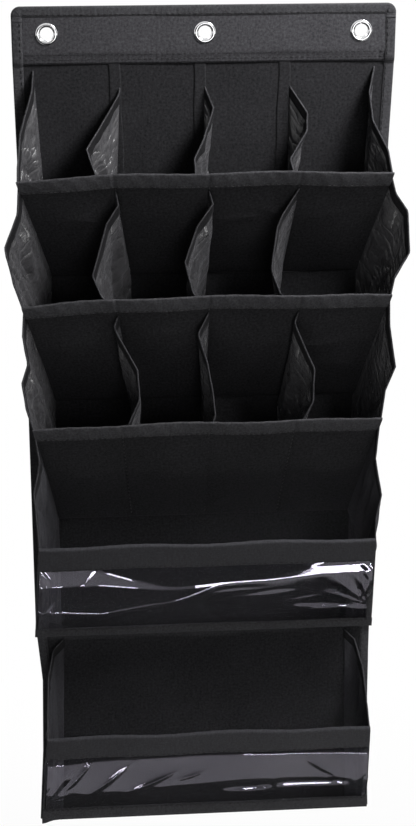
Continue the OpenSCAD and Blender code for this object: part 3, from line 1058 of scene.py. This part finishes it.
def bind_edge(name, points):
    leaf = [(8.0, 0.30), (7.5, 0.62), (4.5, 0.5), (1.1, 0.55), (0.6, 0.66)]
    left = [below_edge(points, d * MM) + np.array([n * MM, 0, 0]) for d, n in leaf]
    right = [below_edge(points, d * MM) - np.array([n * MM, 0, 0]) for d, n in leaf[::-1]]
    rise = points[-1] - points[-2]
    rise = rise / np.maximum(np.linalg.norm(rise, axis=-1, keepdims=True), 1e-9) * 0.35 * MM
    grid = np.array(left + [points[-1] + rise] + right)
    # 0 is the lighter tape, a painted highlight on the tape's borders and crest; 1 is the dark edging tape
    painted_highlight_bands = [0, 1, 1, 1, 0, 0, 1, 1, 1, 0]
    item, flat, area = cloth_piece(name + "_edge", grid, 0.3 * MM, [tape, edging], "back", [],
                                   bands=painted_highlight_bands, smooth=0)
    folding.append((item, name))


print("binding uses", tape.name, "and", edging.name)

# %% [markdown]
# ## One soft sheet
# Thin cloth does not bend evenly: it buckles along a few sharp lines. So each free edge is a kinked line
# through a few chosen knots, and the sheet below it fades back to its straight seams.

LEAST_AREA_SHARE = 0.301
raised = []


def soft_sheet(name, r, kind, a, knots, node, seed, creases=(30, 3.3), sag=3.0, slant=0.0):
    """knots are (share of the free edge from back to front, sideways millimetres)."""
    grid_u, grid_v = np.meshgrid(np.linspace(0, 1, 41), np.linspace(0, 1, 49))
    back = back_line(r, a, kind, grid_v)
    front = front_line(r, a, kind, grid_v)
    points = back + (front - back) * grid_u[..., None]
    push = through(grid_u, [(0, 0), *knots, (1, 0)]) * MM * np.clip(grid_v, 0, 1) ** 1.25
    push = push + slant * MM * (1 - grid_v) * (1 - grid_u) ** 2
    push = push + crumple(grid_u, grid_v, seed, *creases) * MM * np.minimum(1, (1 - grid_v) * 7 + 0.12)
    points[..., 0] += push
    points[..., 2] -= sag * MM * np.sin(np.pi * grid_u) * grid_v**3
    # painted shade: in rows 4 and 5 the gussets, the same thin polyester, get the darker, dull band cloth to stand
    # for the shade in those pockets
    finish = lining if r < 4 else band_cloth
    item, flat, area = cloth_piece(name, points, 0.5 * MM, [finish], "back", [node], smooth=1)
    folding.append((item, name))
    bind_edge(name, points)
    # the rectangle is its widest and tallest run along the folds, so it is larger than the real cut
    widest = float(np.linalg.norm(np.diff(points, axis=1), axis=-1).sum(axis=1).max())
    tallest = float(np.linalg.norm(np.diff(points, axis=0), axis=-1).sum(axis=0).max())
    if area < LEAST_AREA_SHARE * widest * tallest:
        raised.append((name, round(area / (widest * tallest), 3)))


print("soft sheets so far", len(folding))

# %% [markdown]
# ## How each one hangs
# No two of them hang alike. Each has its own few knots along its free edge: a share of the way from the
# back to the front, and how far it leans sideways there, in millimetres, to the right when positive.

# %% Knots of every divider and gusset
DIVIDERS = {
    (1, "left"): [(0.06, 0), (0.60, -27), (0.9, -17)],
    (1, "centre"): [(0.20, 7), (0.50, -3), (0.72, -12), (0.9, -12)],
    (1, "right"): [(0.26, 14), (0.44, 12), (0.74, -6), (0.9, -4)],
    (2, "left"): [(0.10, 2), (0.25, -9), (0.68, -22), (0.88, -14)],
    (2, "centre"): [(0.10, 3), (0.28, -11), (0.58, -22), (0.88, -14)],
    (2, "right"): [(0.20, -15), (0.30, -20), (0.66, -25), (0.88, -17)],
    (3, "left"): [(0.08, -4), (0.14, -1), (0.42, 16), (0.68, 17), (0.9, 6)],
    (3, "centre"): [(0.16, -10), (0.38, -2), (0.62, 3), (0.85, 6)],
    (3, "right"): [(0.08, -3), (0.14, 0), (0.46, 17), (0.74, 17), (0.9, 9)],
}
GUSSETS = {
    (1, -1): [(0.18, 1), (0.55, -4), (0.85, -2)],
    (1, 1): [(0.22, -8), (0.48, -9), (0.76, 0)],
    (2, -1): [(0.22, -2), (0.48, -14), (0.8, -7)],
    (2, 1): [(0.14, 4), (0.28, 15), (0.62, 17), (0.82, 4)],
    (3, -1): [(0.2, -3), (0.42, 0), (0.58, -7), (0.8, -5)],
    (3, 1): [(0.22, 2), (0.55, 10), (0.75, 2)],
    (4, -1): [(0.25, 3), (0.5, -3), (0.8, -1)],
    (4, 1): [(0.3, -3), (0.6, 4), (0.8, 0)],
    (5, -1): [(0.10, -9), (0.35, -10), (0.7, -5)],
    (5, 1): [(0.10, 8), (0.35, 10), (0.7, 5)],
}
print(len(DIVIDERS), "dividers and", len(GUSSETS), "gussets")

# %% [markdown]
# ## Dividers
# Three dividers part each of the upper rows into four pockets. Some are sewn a little askew to the back,
# so they get a slant as well, in millimetres at the foot.

# %% Build the dividers
SIDE = {"left": -0.5, "centre": 0.0, "right": 0.5}
SLANT = {(1, "left"): -13, (1, "centre"): -3, (1, "right"): 6, (2, "left"): 5, (3, "left"): 6}
for (r, place), knots in DIVIDERS.items():
    soft_sheet(f"row_{r}_divider_{place}_cloth", r, "divider", SIDE[place], knots, f"row_{r}_divider_{place}",
               seed=100 * r + int(10 * SIDE[place]), slant=SLANT.get((r, place), 0))
print("soft sheets and bindings so far", len(folding))

# %% [markdown]
# ## Sewn strips of the first row
# The dividers of the first row are cut with a flange, which is sewn flat to the back and runs on up to
# the header. It is a narrow strip with slightly raised borders, so that its two edges can be seen.

# %% Flanges of the first row
FLANGE_SECTION = ((-9.6, 0.1), (-9.2, 0.55), (-6.0, 0.4), (-3.0, 0.4), (-0.8, 0.6), (0.3, 0.5), (0.5, 0.1))


def flange(place):
    z = spaced(header_z - 125 * MM, header_z + 1 * MM, 2.5 * MM)
    x = SIDE[place] * mix(0.146, 0.153, (z - z[0]) / (z[-1] - z[0]))
    grid = []
    for d, lift in FLANGE_SECTION:
        wave = 0.10 * np.sin(z * 300 + d)
        grid.append(back_at(x + d * MM + 0.4 * MM * np.sin(z * 110), z, (lift + wave) * MM))
    item, flat, area = cloth_piece(f"row_1_flange_{place}_cloth", np.array(grid), 0.5 * MM, [panel],
                                   "back", [], smooth=1)
    return flat


for place in SIDE:
    print("flange cut", [round(f, 3) for f in flange(place)])

# %% [markdown]
# ## Gussets
# A gusset closes each end of a row. The ones on the right hang smoother in the upper rows, so they get
# fewer and lower creases.

# %% Build the gussets
for (r, side), knots in GUSSETS.items():
    place = "left" if side < 0 else "right"
    creases = (34, 3.0) if side < 0 or r > 3 else (16, 1.3)
    soft_sheet(f"row_{r}_gusset_{place}_cloth", r, "gusset", float(side), knots, f"row_{r}_gusset_{place}",
               seed=500 + 10 * r + side, creases=creases, sag=2.0)
print("soft sheets and bindings in all", len(folding))
print("declared areas that were raised, with their real shares", raised)

# %% [markdown]
# ## Creases of a clear sheet
# Rows 4 and 5 have a clear sheet in front. It is seen only by what it mirrors, so its shape matters more
# than its colour. Two shapes make the light break up: a sharp crease, and pleats pulled from a corner.

# %% Ridges and pleats
def ridge(a, s, at_a, at_s, turn, width, reach):
    """One sharp crease: its crest runs through (at_a, at_s) along a direction, and fades at its ends."""
    along = (a - at_a) * math.cos(turn) * 2.6 + (s - at_s) * math.sin(turn)
    across = (s - at_s) * math.cos(turn) - (a - at_a) * math.sin(turn) * 2.6
    return np.exp(-np.abs(across) / width) * np.exp(-((along / reach) ** 2))


def pleats(r, a, s, side, low, fan):
    """Pulled pleats that meet at a corner: flat facets that widen away from it. Millimetres."""
    right = (side * (0.995 - side * a)) * side * MOUTH_HALF[r][0] / MM
    up = (s - low) * rows[r]["slant"] / MM
    turn = np.arctan2(up, np.maximum(right, 0.01))
    far = np.hypot(right, up)
    total = 0 * a
    for at, half, slope, reach in fan:
        facet = np.maximum(0, 1 - np.abs(turn - at) / half)
        total = total + facet * far * half * math.tan(math.radians(slope)) * np.exp(-((far / reach) ** 3))
    return total


print("a ridge is", float(ridge(0.0, 0.5, 0.0, 0.5, 0.0, 0.03, 0.4)), "at its crest")

# %% [markdown]
# ## Lean of a clear sheet
# A soft clear sheet leans a few degrees this way and that over its height. The lean decides what it
# mirrors there: the dark beyond, the floor, or a lamp as a thin white line. Row 4 has a long soft fold
# that rises to the right, and row 5 a calmer one lower down.

# %% Lean of each clear sheet
def low_fold(a):
    """Height, as a share, of the long soft fold that runs up from the lower left in row 4."""
    return mix(0.33, 0.62, smooth_step(-0.7, 0.35, a)) + 0.012 * np.sin(a * 11)


def row_4_tilt(a, s):
    turn_s = mix(0.555, 0.635, smooth_step(-0.1, 0.9, a)) + 0.012 * np.sin(a * 6)
    wedge = smooth_step(-0.12, -0.32, a + (s - 0.6) * 2.4)
    top = mix(21.0, 3.0, wedge) - 9.0 * smooth_step(0.15, 0.8, a)
    level = mix(mix(6.4, 3.4, smooth_step(0.2, 0.8, a)), 3.0, smooth_step(-0.1, -0.5, a))
    rest = 0.10 * smooth_step(0.25, 0.9, a)
    middle = mix(16.5 + 1.5 * np.sin(a * 9), -6.5, smooth_step(0.1, 0.45, a))
    below = -6.5 + (middle + 6.5) * smooth_step(0, 1, (s - low_fold(a)) / 0.03)
    tilt = below + (level - below) * smooth_step(0, 1, (s - turn_s) / 0.045)
    tilt += (top - level) * smooth_step(0, 1, (s - turn_s - 0.045 - rest) / 0.04)
    lip = np.clip(1.6 * bump(s, 0.25 - 0.16 * (a - 0.6), 0.020), 0, 1) * smooth_step(0.40, 0.62, a)
    tilt += lip * (mix(11.3, 8.2, smooth_step(0.6, 0.95, a)) + 1.2 * np.sin(a * 47))
    return tilt - 9.0 * smooth_step(0.70, 0.735, s - 0.03 * a) * smooth_step(-0.5, 0.3, a)


def row_5_tilt(a, s):
    turn_s = 0.36 + 0.035 * np.sin(a * 3.4 + 0.4) - 0.05 * smooth_step(-0.3, -0.9, a)
    tilt = -11.0 + 13.5 * smooth_step(0, 1, (s - turn_s) / 0.05)
    lip = np.clip(1.6 * bump(s, 0.265 + 0.05 * smooth_step(0.25, 0.5, a), 0.022), 0, 1)
    lip = lip * smooth_step(0.0, 0.25, a) * (1 - 0.8 * bump(a, 0.42, 0.03)) * (1 - smooth_step(0.8, 0.95, a))
    top = smooth_step(0.735, 0.755, s + 0.03 * a * a)
    return tilt + 25.5 * lip + 2.5 * np.sin(a * 3.1 + s * 6) * smooth_step(0.4, 0.6, s) + 24.0 * top


# degrees that the sheet leans back from its flat
WINDOW_TILT = {4: row_4_tilt, 5: row_5_tilt}
print("the low fold of row 4 rises", [round(float(low_fold(a)), 2) for a in (-1.0, 0.0, 1.0)])

# %% [markdown]
# ## Where the creases are
# A crease is (place along, place up, direction, height in millimetres, length). A pleat is (direction,
# half width, slope in degrees, reach in millimetres), measured from its corner: the right one first.

# %% Creases and pleats of each clear sheet
CREASES = {
    4: [(-0.35, 0.36, 0.10, 0.85, 0.40), (-0.60, 0.22, 0.30, 0.8, 0.35), (-0.22, 0.46, 0.05, 0.75, 0.4),
        (0.12, 0.50, 0.04, 0.55, 0.45), (-0.45, 0.14, 0.20, 0.50, 0.35), (-0.30, 0.28, 0.22, 0.8, 0.2),
        (-0.62, 0.33, 0.25, 0.8, 0.3), (0.35, 0.44, 0.05, 0.7, 0.4), (-0.70, 0.66, 0.75, 0.6, 0.22),
        (0.55, 0.34, 0.06, 0.5, 0.4)],
    5: [(-0.60, 0.50, 0.50, 1.6, 0.40), (-0.36, 0.43, 0.28, 1.9, 0.42), (-0.10, 0.50, 0.2, 1.1, 0.25),
        (-0.78, 0.60, 0.7, 1.4, 0.35), (0.70, 0.55, -0.45, 1.1, 0.25), (0.45, 0.14, 0.0, 0.6, 0.5)],
}
PLEATS = {
    4: [(1, 0.20, [(-0.02, 0.05, 9.7, 95), (0.25, 0.06, 10, 40), (0.55, 0.14, 11.4, 34),
                   (0.95, 0.18, 16.7, 46), (1.35, 0.12, 30, 38)]),
        (-1, 0.25, [(0.6, 0.25, 15, 18), (1.2, 0.2, 20, 30), (-0.6, 0.3, 15, 22)])],
    5: [(1, 0.16, [(0.62, 0.06, 24, 40), (0.3, 0.12, 26, 18), (1.1, 0.2, 20, 25)]),
        (-1, 0.20, [(0.7, 0.2, 20, 25), (1.25, 0.2, 25, 50), (0.2, 0.2, 24, 22)])],
}
CREASE_WIDTH = 0.03
print("creases", {r: len(lines) for r, lines in CREASES.items()})

# %% [markdown]
# ## Swell of a clear sheet
# The lean is summed up over the height to give how far the sheet stands off its flat. Where it passes
# under the band it has to lie close, so what is left over there is spread over the height below.

# %% How far a clear sheet stands off
UNDER_BAND = 0.775


def window_swell(r, a, s):
    """Millimetres that the clear sheet stands off its flat, for broad swells and sharp creases."""
    slant = rows[r]["slant"] / MM * 0.925
    lean_back = np.tan(np.radians(WINDOW_TILT[r](a, s)))
    step = np.diff(s, axis=0) * slant
    risen = np.cumsum(np.concatenate([0 * a[:1], (lean_back[1:] + lean_back[:-1]) / 2 * step]), axis=0)
    broad = -risen
    under = np.argmin(np.abs(s[:, 0] - UNDER_BAND))
    spread = mix(low_fold(a), UNDER_BAND, smooth_step(0.0, 0.35, a)) if r == 4 else UNDER_BAND
    broad = (broad - (broad[under] - 0.9) * np.minimum(s / spread, 1)) * (1 - smooth_step(0.785, 0.9, s))
    folds = np.zeros_like(a * s)
    for at_a, at_s, turn, height, reach in CREASES[r]:
        folds += height * ridge(a, s, at_a, at_s, turn, CREASE_WIDTH, reach)
    corner = sum(pleats(r, a, s, side, low, fan) for side, low, fan in PLEATS[r])
    fine = 0.28 * np.sin(a * 90 + 5 * np.sin(s * 9)) * (bump(a, -0.97, 0.05) + bump(a, 0.97, 0.05))
    return broad + (folds + corner + fine) * np.sin(np.pi * np.clip(s, 0.0, 1)) ** 0.3


sample = np.meshgrid(np.linspace(-1, 1, 81), np.linspace(0, 1, 101))
for r in (4, 5):
    swell = window_swell(r, *sample)
    print("clear sheet", r, "stands off", [round(float(mm), 1) for mm in (swell.min(), swell.max())], "mm")

# %% [markdown]
# ## Parts of a clear front
# A clear front is a sheet between a trim strip at its foot and a band at its mouth, with a narrow tape
# folded over each side edge. All of them are cut straight, and only the sheet is creased.

# %% Sheet, trim and side tapes
def trim_h(r):
    """The lowest trim also covers the bottom edge tape, so it is taller."""
    return TRIM_H if r == 4 else TRIM_H + 4 * MM


def window_sheet(r):
    row = rows[r]
    s = np.linspace((trim_h(r) - 5 * MM) / row["slant"], 1 - 2 * MM / row["slant"], 101)
    grid_a, grid_s = np.meshgrid(np.linspace(-1, 1, 281), s)
    swell = window_swell(r, grid_a, (grid_s - s[0]) / (s[-1] - s[0])) * MM
    points = front_at(r, grid_a * 0.995, grid_s, 0.4 * MM + swell)
    item, flat, area = cloth_piece(f"row_{r}_window_sheet", points, 0.4 * MM, [vinyl], row["body"],
                                   [f"row_{r}_window"], smooth=0)


def trim_strip(r):
    a = np.linspace(-1.004, 1.004, 201)
    height = trim_h(r) / rows[r]["slant"]
    grid = []
    for f in (-0.08, 0.0, 0.06, 0.25, 0.5, 0.75, 0.93, 1.0):
        n = 1.5 * MM + 0.5 * MM * math.sin(math.pi * min(1, max(0, f)))
        if f in (-0.08, 1.0):
            n -= 0.6 * MM
        wave = 0.15 * MM * np.sin(a * 70 + 9 * f)
        grid.append(front_at(r, a, np.full_like(a, max(0, f) * height), n + wave))
    item, flat, area = cloth_piece(f"row_{r}_trim_tape", np.array(grid), 0.7 * MM, [tape], rows[r]["body"],
                                   [f"row_{r}_trim"], smooth=1)


def window_edge(r, side):
    """A narrow tape folded over the clear sheet's side edge."""
    s = np.linspace(0.02, 0.97, 61)
    place = "left" if side < 0 else "right"
    grid = []
    for d, n in ((5.4, 1.1), (4.2, 1.3), (1.4, 1.3), (0.1, 1.0), (-0.3, 0.2), (0.1, -0.6), (4.4, -0.8)):
        a = side * (1 - d * MM / MOUTH_HALF[r][0]) + 0 * s
        grid.append(front_at(r, a, s, (n + 0.12 * np.sin(s * 55 + d)) * MM))
    item, flat, area = cloth_piece(f"row_{r}_window_edge_{place}", np.array(grid), 0.4 * MM, [tape],
                                   rows[r]["body"], [], smooth=0)


for r in (4, 5):
    trim_strip(r)
    window_sheet(r)
    window_edge(r, -1)
    window_edge(r, 1)
    folded_edge(f"row_{r}_band_cloth", r, BAND_H, 2.0 * MM, band_cloth, f"row_{r}_band",
                seams=False)
    print("trim of row", r, "is", round(trim_h(r) / MM), "mm tall")

# %% [markdown]
# ## Stitch paths
# Every seam shows its row of stitches. A path is a list of places with the direction that the cloth
# faces there: one kind follows a front, the other runs flat on the back.

# %% Paths for the stitches
def along_front(r, a, s, n):
    points = front_at(r, a, s, n)
    lean = rows[r]["lean"]
    return points, np.tile([0.0, -math.cos(lean), -math.sin(lean)], (len(points), 1))


def flat_line(x, z, y):
    points = np.stack([x + 0 * z, y + 0 * x * z, z + 0 * x], axis=-1)
    return points, np.tile([0.0, -1.0, 0.0], (len(points), 1))


print("a front of row 4 leans", round(math.degrees(rows[4]["lean"]), 1), "degrees")

# %% [markdown]
# ## Header and side stitches
# Two rows of stitches hold the foot of the header band and one runs under the top tape. The side tapes
# are sewn down in one line each, which starts again above the foot of the header.

# %% Stitches of the header and the sides
line_x = np.linspace(-half_w + 9 * MM, half_w - 9 * MM, 90)
header_lines = []
for drop in (4 * MM, 8.5 * MM):
    row_z = np.full(90, header_z + drop)
    path, faces = flat_line(line_x, row_z, 0)
    path[:, 1] = header_depth(line_x, row_z) - cloth_t * 0.45
    header_lines.append((path, faces))
header_lines.append(flat_line(line_x, np.full(90, top_z - TAPE_W + 1.6 * MM), header_low.y - 0.5 * MM))
stitch_row("header_stitches", header_lines, "back")

for side, place in ((-1, "left"), (1, "right")):
    z_low = np.linspace(bottom_z + 4 * MM, header_z - 4 * MM, 200)
    x_low = side * (back_edge(z_low, side) - TAPE_W + 2.0 * MM)
    low = flat_line(x_low, z_low, -0.7 * MM)
    low[0][:, 1] += back_wave(x_low, z_low)
    z_high = np.linspace(header_z + 4 * MM, top_z - 12 * MM, 20)
    x_high = side * (back_edge(z_high, side) - TAPE_W + 2.0 * MM)
    stitch_row(f"{place}_edge_stitches", [low, flat_line(x_high, z_high, header_low.y - 0.5 * MM)], "back")
print("rows of stitches in the header", len(header_lines))

# %% [markdown]
# ## Stitches on the rear
# The seams that hold the fronts, dividers and gussets go right through, so they show on the rear: a line
# across at the foot of each row, and a line up for each sheet that is sewn to the back.

# %% Stitches on the rear
rear_lines = []
for r, row in rows.items():
    across_x = np.linspace(-SEAM_HALF[r][0] * 0.97, SEAM_HALF[r][1] * 0.97, 100)
    rear_lines.append(flat_line(across_x, np.full(100, row["seam_z"] + 2 * MM), 0))
    for a in (*SEAMS, -1, 1) if r < 4 else (-0.86, 0.86):
        high = header_z - 4 * MM if r == 1 else rows[r - 1]["seam_z"] - 2 * MM
        up_z = np.linspace(row["seam_z"] + 6 * MM, high, 40)
        rear_lines.append(flat_line(a * SEAM_HALF[r][0] + 0 * up_z, up_z, 0))
for line, normals in rear_lines:
    line[:, 1] = back_high.y + back_wave(line[:, 0], line[:, 2]) - 0.02 * MM
    normals[:, 1] = 1.0
stitch_row("rear_stitches", rear_lines, "back")
print("seams on the rear", len(rear_lines))

# %% [markdown]
# ## Stitches of the fronts
# A cloth front is sewn down its divider seams and along the foot of its hem. A clear front is sewn along
# the foot of its band and the top of its trim.

# %% Stitches of the fronts
for r in (1, 2, 3):
    lines = [along_front(r, np.full(30, a), np.linspace(0.03, 0.98, 30), 0.35 * MM) for a in SEAMS]
    s = 1 - HEM_H / rows[r]["slant"] + 1.5 * MM / rows[r]["slant"]
    lines.append(along_front(r, np.linspace(-0.985, 0.985, 120), np.full(120, s), 2.3 * MM))
    stitch_row(f"row_{r}_stitches", lines, rows[r]["body"])
for r in (4, 5):
    slant = rows[r]["slant"]
    a = np.linspace(-0.985, 0.985, 120)
    lines = [along_front(r, a, np.full(120, 1 - (BAND_H - 2 * MM) / slant), 3.0 * MM),
             along_front(r, a, np.full(120, (trim_h(r) - 2 * MM) / slant), 2.4 * MM)]
    stitch_row(f"row_{r}_stitches", lines, rows[r]["body"])

# %% [markdown]
# ## Own meshes of the soft sheets
# When a front folds back against the wall, the dividers and gussets crumple behind it. They stay on the
# back; here each of them, and each binding, only gets a mesh of its own.

# %% Give the soft sheets their own meshes
for item, name in folding:
    row = rows[int(name.split("_")[1])]
    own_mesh(item)
print("flattened", len(folding), "pieces")

# %% [markdown]
# ## Studio
# The surround and the floor both look plain white, but what they give to the cloth and to mirrors is
# their own. So each asks how a ray got there: straight or through clear sheets, or off a mirror.

# %% How a ray arrived
def ray_shares(tree):
    """One where a ray is seen straight or through clear sheets, and one where it came off a mirror."""
    path = tree.nodes.new("ShaderNodeLightPath")
    bounced = maths(tree, "GREATER_THAN", path.outputs["Glossy Depth"], 0.5)
    scattered = maths(tree, "GREATER_THAN", path.outputs["Diffuse Depth"], 0.5)
    straight = maths(tree, "SUBTRACT", 1.0, maths(tree, "MAXIMUM", bounced, scattered))
    clear = maths(tree, "MULTIPLY", path.outputs["Is Transmission Ray"], straight)
    seen = maths(tree, "MAXIMUM", path.outputs["Is Camera Ray"], clear)
    shiny = maths(tree, "MAXIMUM", path.outputs["Is Glossy Ray"], path.outputs["Is Transmission Ray"])
    return seen, maths(tree, "MULTIPLY", shiny, bounced)


def split_place(tree, output):
    """The coordinate node, and a node that splits one of its outputs."""
    place = tree.nodes.new("ShaderNodeTexCoord")
    parts = tree.nodes.new("ShaderNodeSeparateXYZ")
    tree.links.new(place.outputs[output], parts.inputs[0])
    return place, parts


FLOOR_Z = bottom_z - 0.30
print("the floor is at", round(FLOOR_Z, 3), "m")

# %% [markdown]
# ## World
# Seen straight, the surround is white. Mirrors see a white room with a dark doorway in front, a little
# above eye level, which gives the metal and the clear sheets something to mirror. The cloth only gets a
# low, even light from it, so the pockets stay deep.

# %% World
world = bpy.data.worlds.new("studio")
bpy.context.scene.world = world
world.use_nodes = True
tree = world.node_tree
tree.nodes.clear()
out = tree.nodes.new("ShaderNodeOutputWorld")
plain = tree.nodes.new("ShaderNodeBackground")
plain.inputs["Color"].default_value = (1, 1, 1, 1)
seen, mirror = ray_shares(tree)
_, parts = split_place(tree, "Generated")
ahead = maths(tree, "LESS_THAN", parts.outputs["Y"], -0.55)
from_middle = maths(tree, "ABSOLUTE", maths(tree, "SUBTRACT", parts.outputs["Z"], 0.12))
doorway = maths(tree, "MULTIPLY", ahead, maths(tree, "LESS_THAN", from_middle, 0.22))
bright = maths(tree, "SUBTRACT", 0.85, maths(tree, "MULTIPLY", doorway, 0.8))
mirrored = maths(tree, "MULTIPLY", mirror, bright)
level = maths(tree, "MAXIMUM", maths(tree, "MAXIMUM", seen, mirrored), 0.05)
tree.links.new(level, plain.inputs["Strength"])
tree.links.new(plain.outputs[0], out.inputs["Surface"])
print("world nodes", len(tree.nodes))

# %% [markdown]
# ## Lamps
# A large soft lamp stands close on the upper right and a weak one fills from low in front. One behind
# lights the rear. Two low strips are seen only by mirrors, and put white streaks on the clear fronts.

# %% Lamps
def soft_lamp(name, place, target, size, power):
    data = bpy.data.lights.new(name, "AREA")
    data.shape = "RECTANGLE"
    data.size = size[0]
    data.size_y = size[1]
    data.energy = power
    lamp = bpy.data.objects.new(name, data)
    bpy.context.scene.collection.objects.link(lamp)
    lamp.location = place
    lamp.rotation_euler = (Vector(target) - Vector(place)).to_track_quat("-Z", "Y").to_euler()
    lamp.visible_camera = False
    return lamp


soft_lamp("key_lamp", (0.62, -0.40, 0.62), (0.05, 0, -0.25), (0.36, 0.36), 21.0)
soft_lamp("fill_lamp", (0.45, -1.75, -0.30), (0, 0, -0.45), (0.9, 1.0), 4.6)
soft_lamp("rear_lamp", (-0.7, 1.7, 0.7), (0, 0, -0.35), (1.2, 1.2), 32)
for name, x, width, power in (("low_lamp", 0.255, 0.41, 1.7), ("low_side_lamp", -0.155, 0.05, 0.2)):
    strip = soft_lamp(name, (x, -0.31, FLOOR_Z + 0.08), (x, -0.31, 0), (width, 0.06), power)
    strip.visible_diffuse = False

# %% [markdown]
# ## Floor
# A pale floor well below the object, which fades into the white surround further out. In mirrors it is a
# painted bright strip between a painted shadow of the organizer, just in front of it, and the dark beyond.

# %% Floor
bpy.ops.mesh.primitive_plane_add(size=8)
floor = bpy.context.active_object
floor.name = "studio_floor"
for vertex in floor.data.vertices:
    vertex.co.z = FLOOR_Z
material, tree, shader = new_material("studio_floor")
shader.inputs["Base Color"].default_value = (0.7, 0.7, 0.7, 1)
shader.inputs["Roughness"].default_value = 0.95
shader.inputs["Specular IOR Level"].default_value = 0.0
white = tree.nodes.new("ShaderNodeEmission")
place, parts = split_place(tree, "Object")
level_place = tree.nodes.new("ShaderNodeVectorMath")
level_place.operation = "MULTIPLY"
level_place.inputs[1].default_value = (1, 1, 0)
tree.links.new(place.outputs["Object"], level_place.inputs[0])
far = tree.nodes.new("ShaderNodeVectorMath")
far.operation = "LENGTH"
tree.links.new(level_place.outputs[0], far.inputs[0])
fade = ramp_between(tree, far.outputs["Value"], 0.3, 0.9, 0.93, 1.0)
# painted shadow: in mirrors the floor close under the organizer is kept dark, and a painted bright strip lies
# beyond it
near = ramp_between(tree, parts.outputs["Y"], -0.112, -0.128, 0.02, 0.72)
beyond = ramp_between(tree, parts.outputs["Y"], -0.25, -0.50, 1.0, 0.04)
seen, mirror = ray_shares(tree)
in_mirrors = maths(tree, "MULTIPLY", mirror, maths(tree, "MULTIPLY", near, beyond))
light = maths(tree, "ADD", seen, in_mirrors, clamp=True)
tree.links.new(light, white.inputs["Strength"])
blend = tree.nodes.new("ShaderNodeMixShader")
share = maths(tree, "MAXIMUM", maths(tree, "MULTIPLY", seen, fade), mirror)
tree.links.new(share, blend.inputs["Fac"])
tree.links.new(shader.outputs[0], blend.inputs[1])
tree.links.new(white.outputs[0], blend.inputs[2])
tree.links.new(blend.outputs[0], tree.nodes["Material Output"].inputs["Surface"])
floor.data.materials.append(material)
print("floor nodes", len(tree.nodes))

# %% [markdown]
# ## Finish
# The colours are shown through the plain Standard view transform.

# %% Finish
bpy.context.scene.view_settings.view_transform = "Standard"
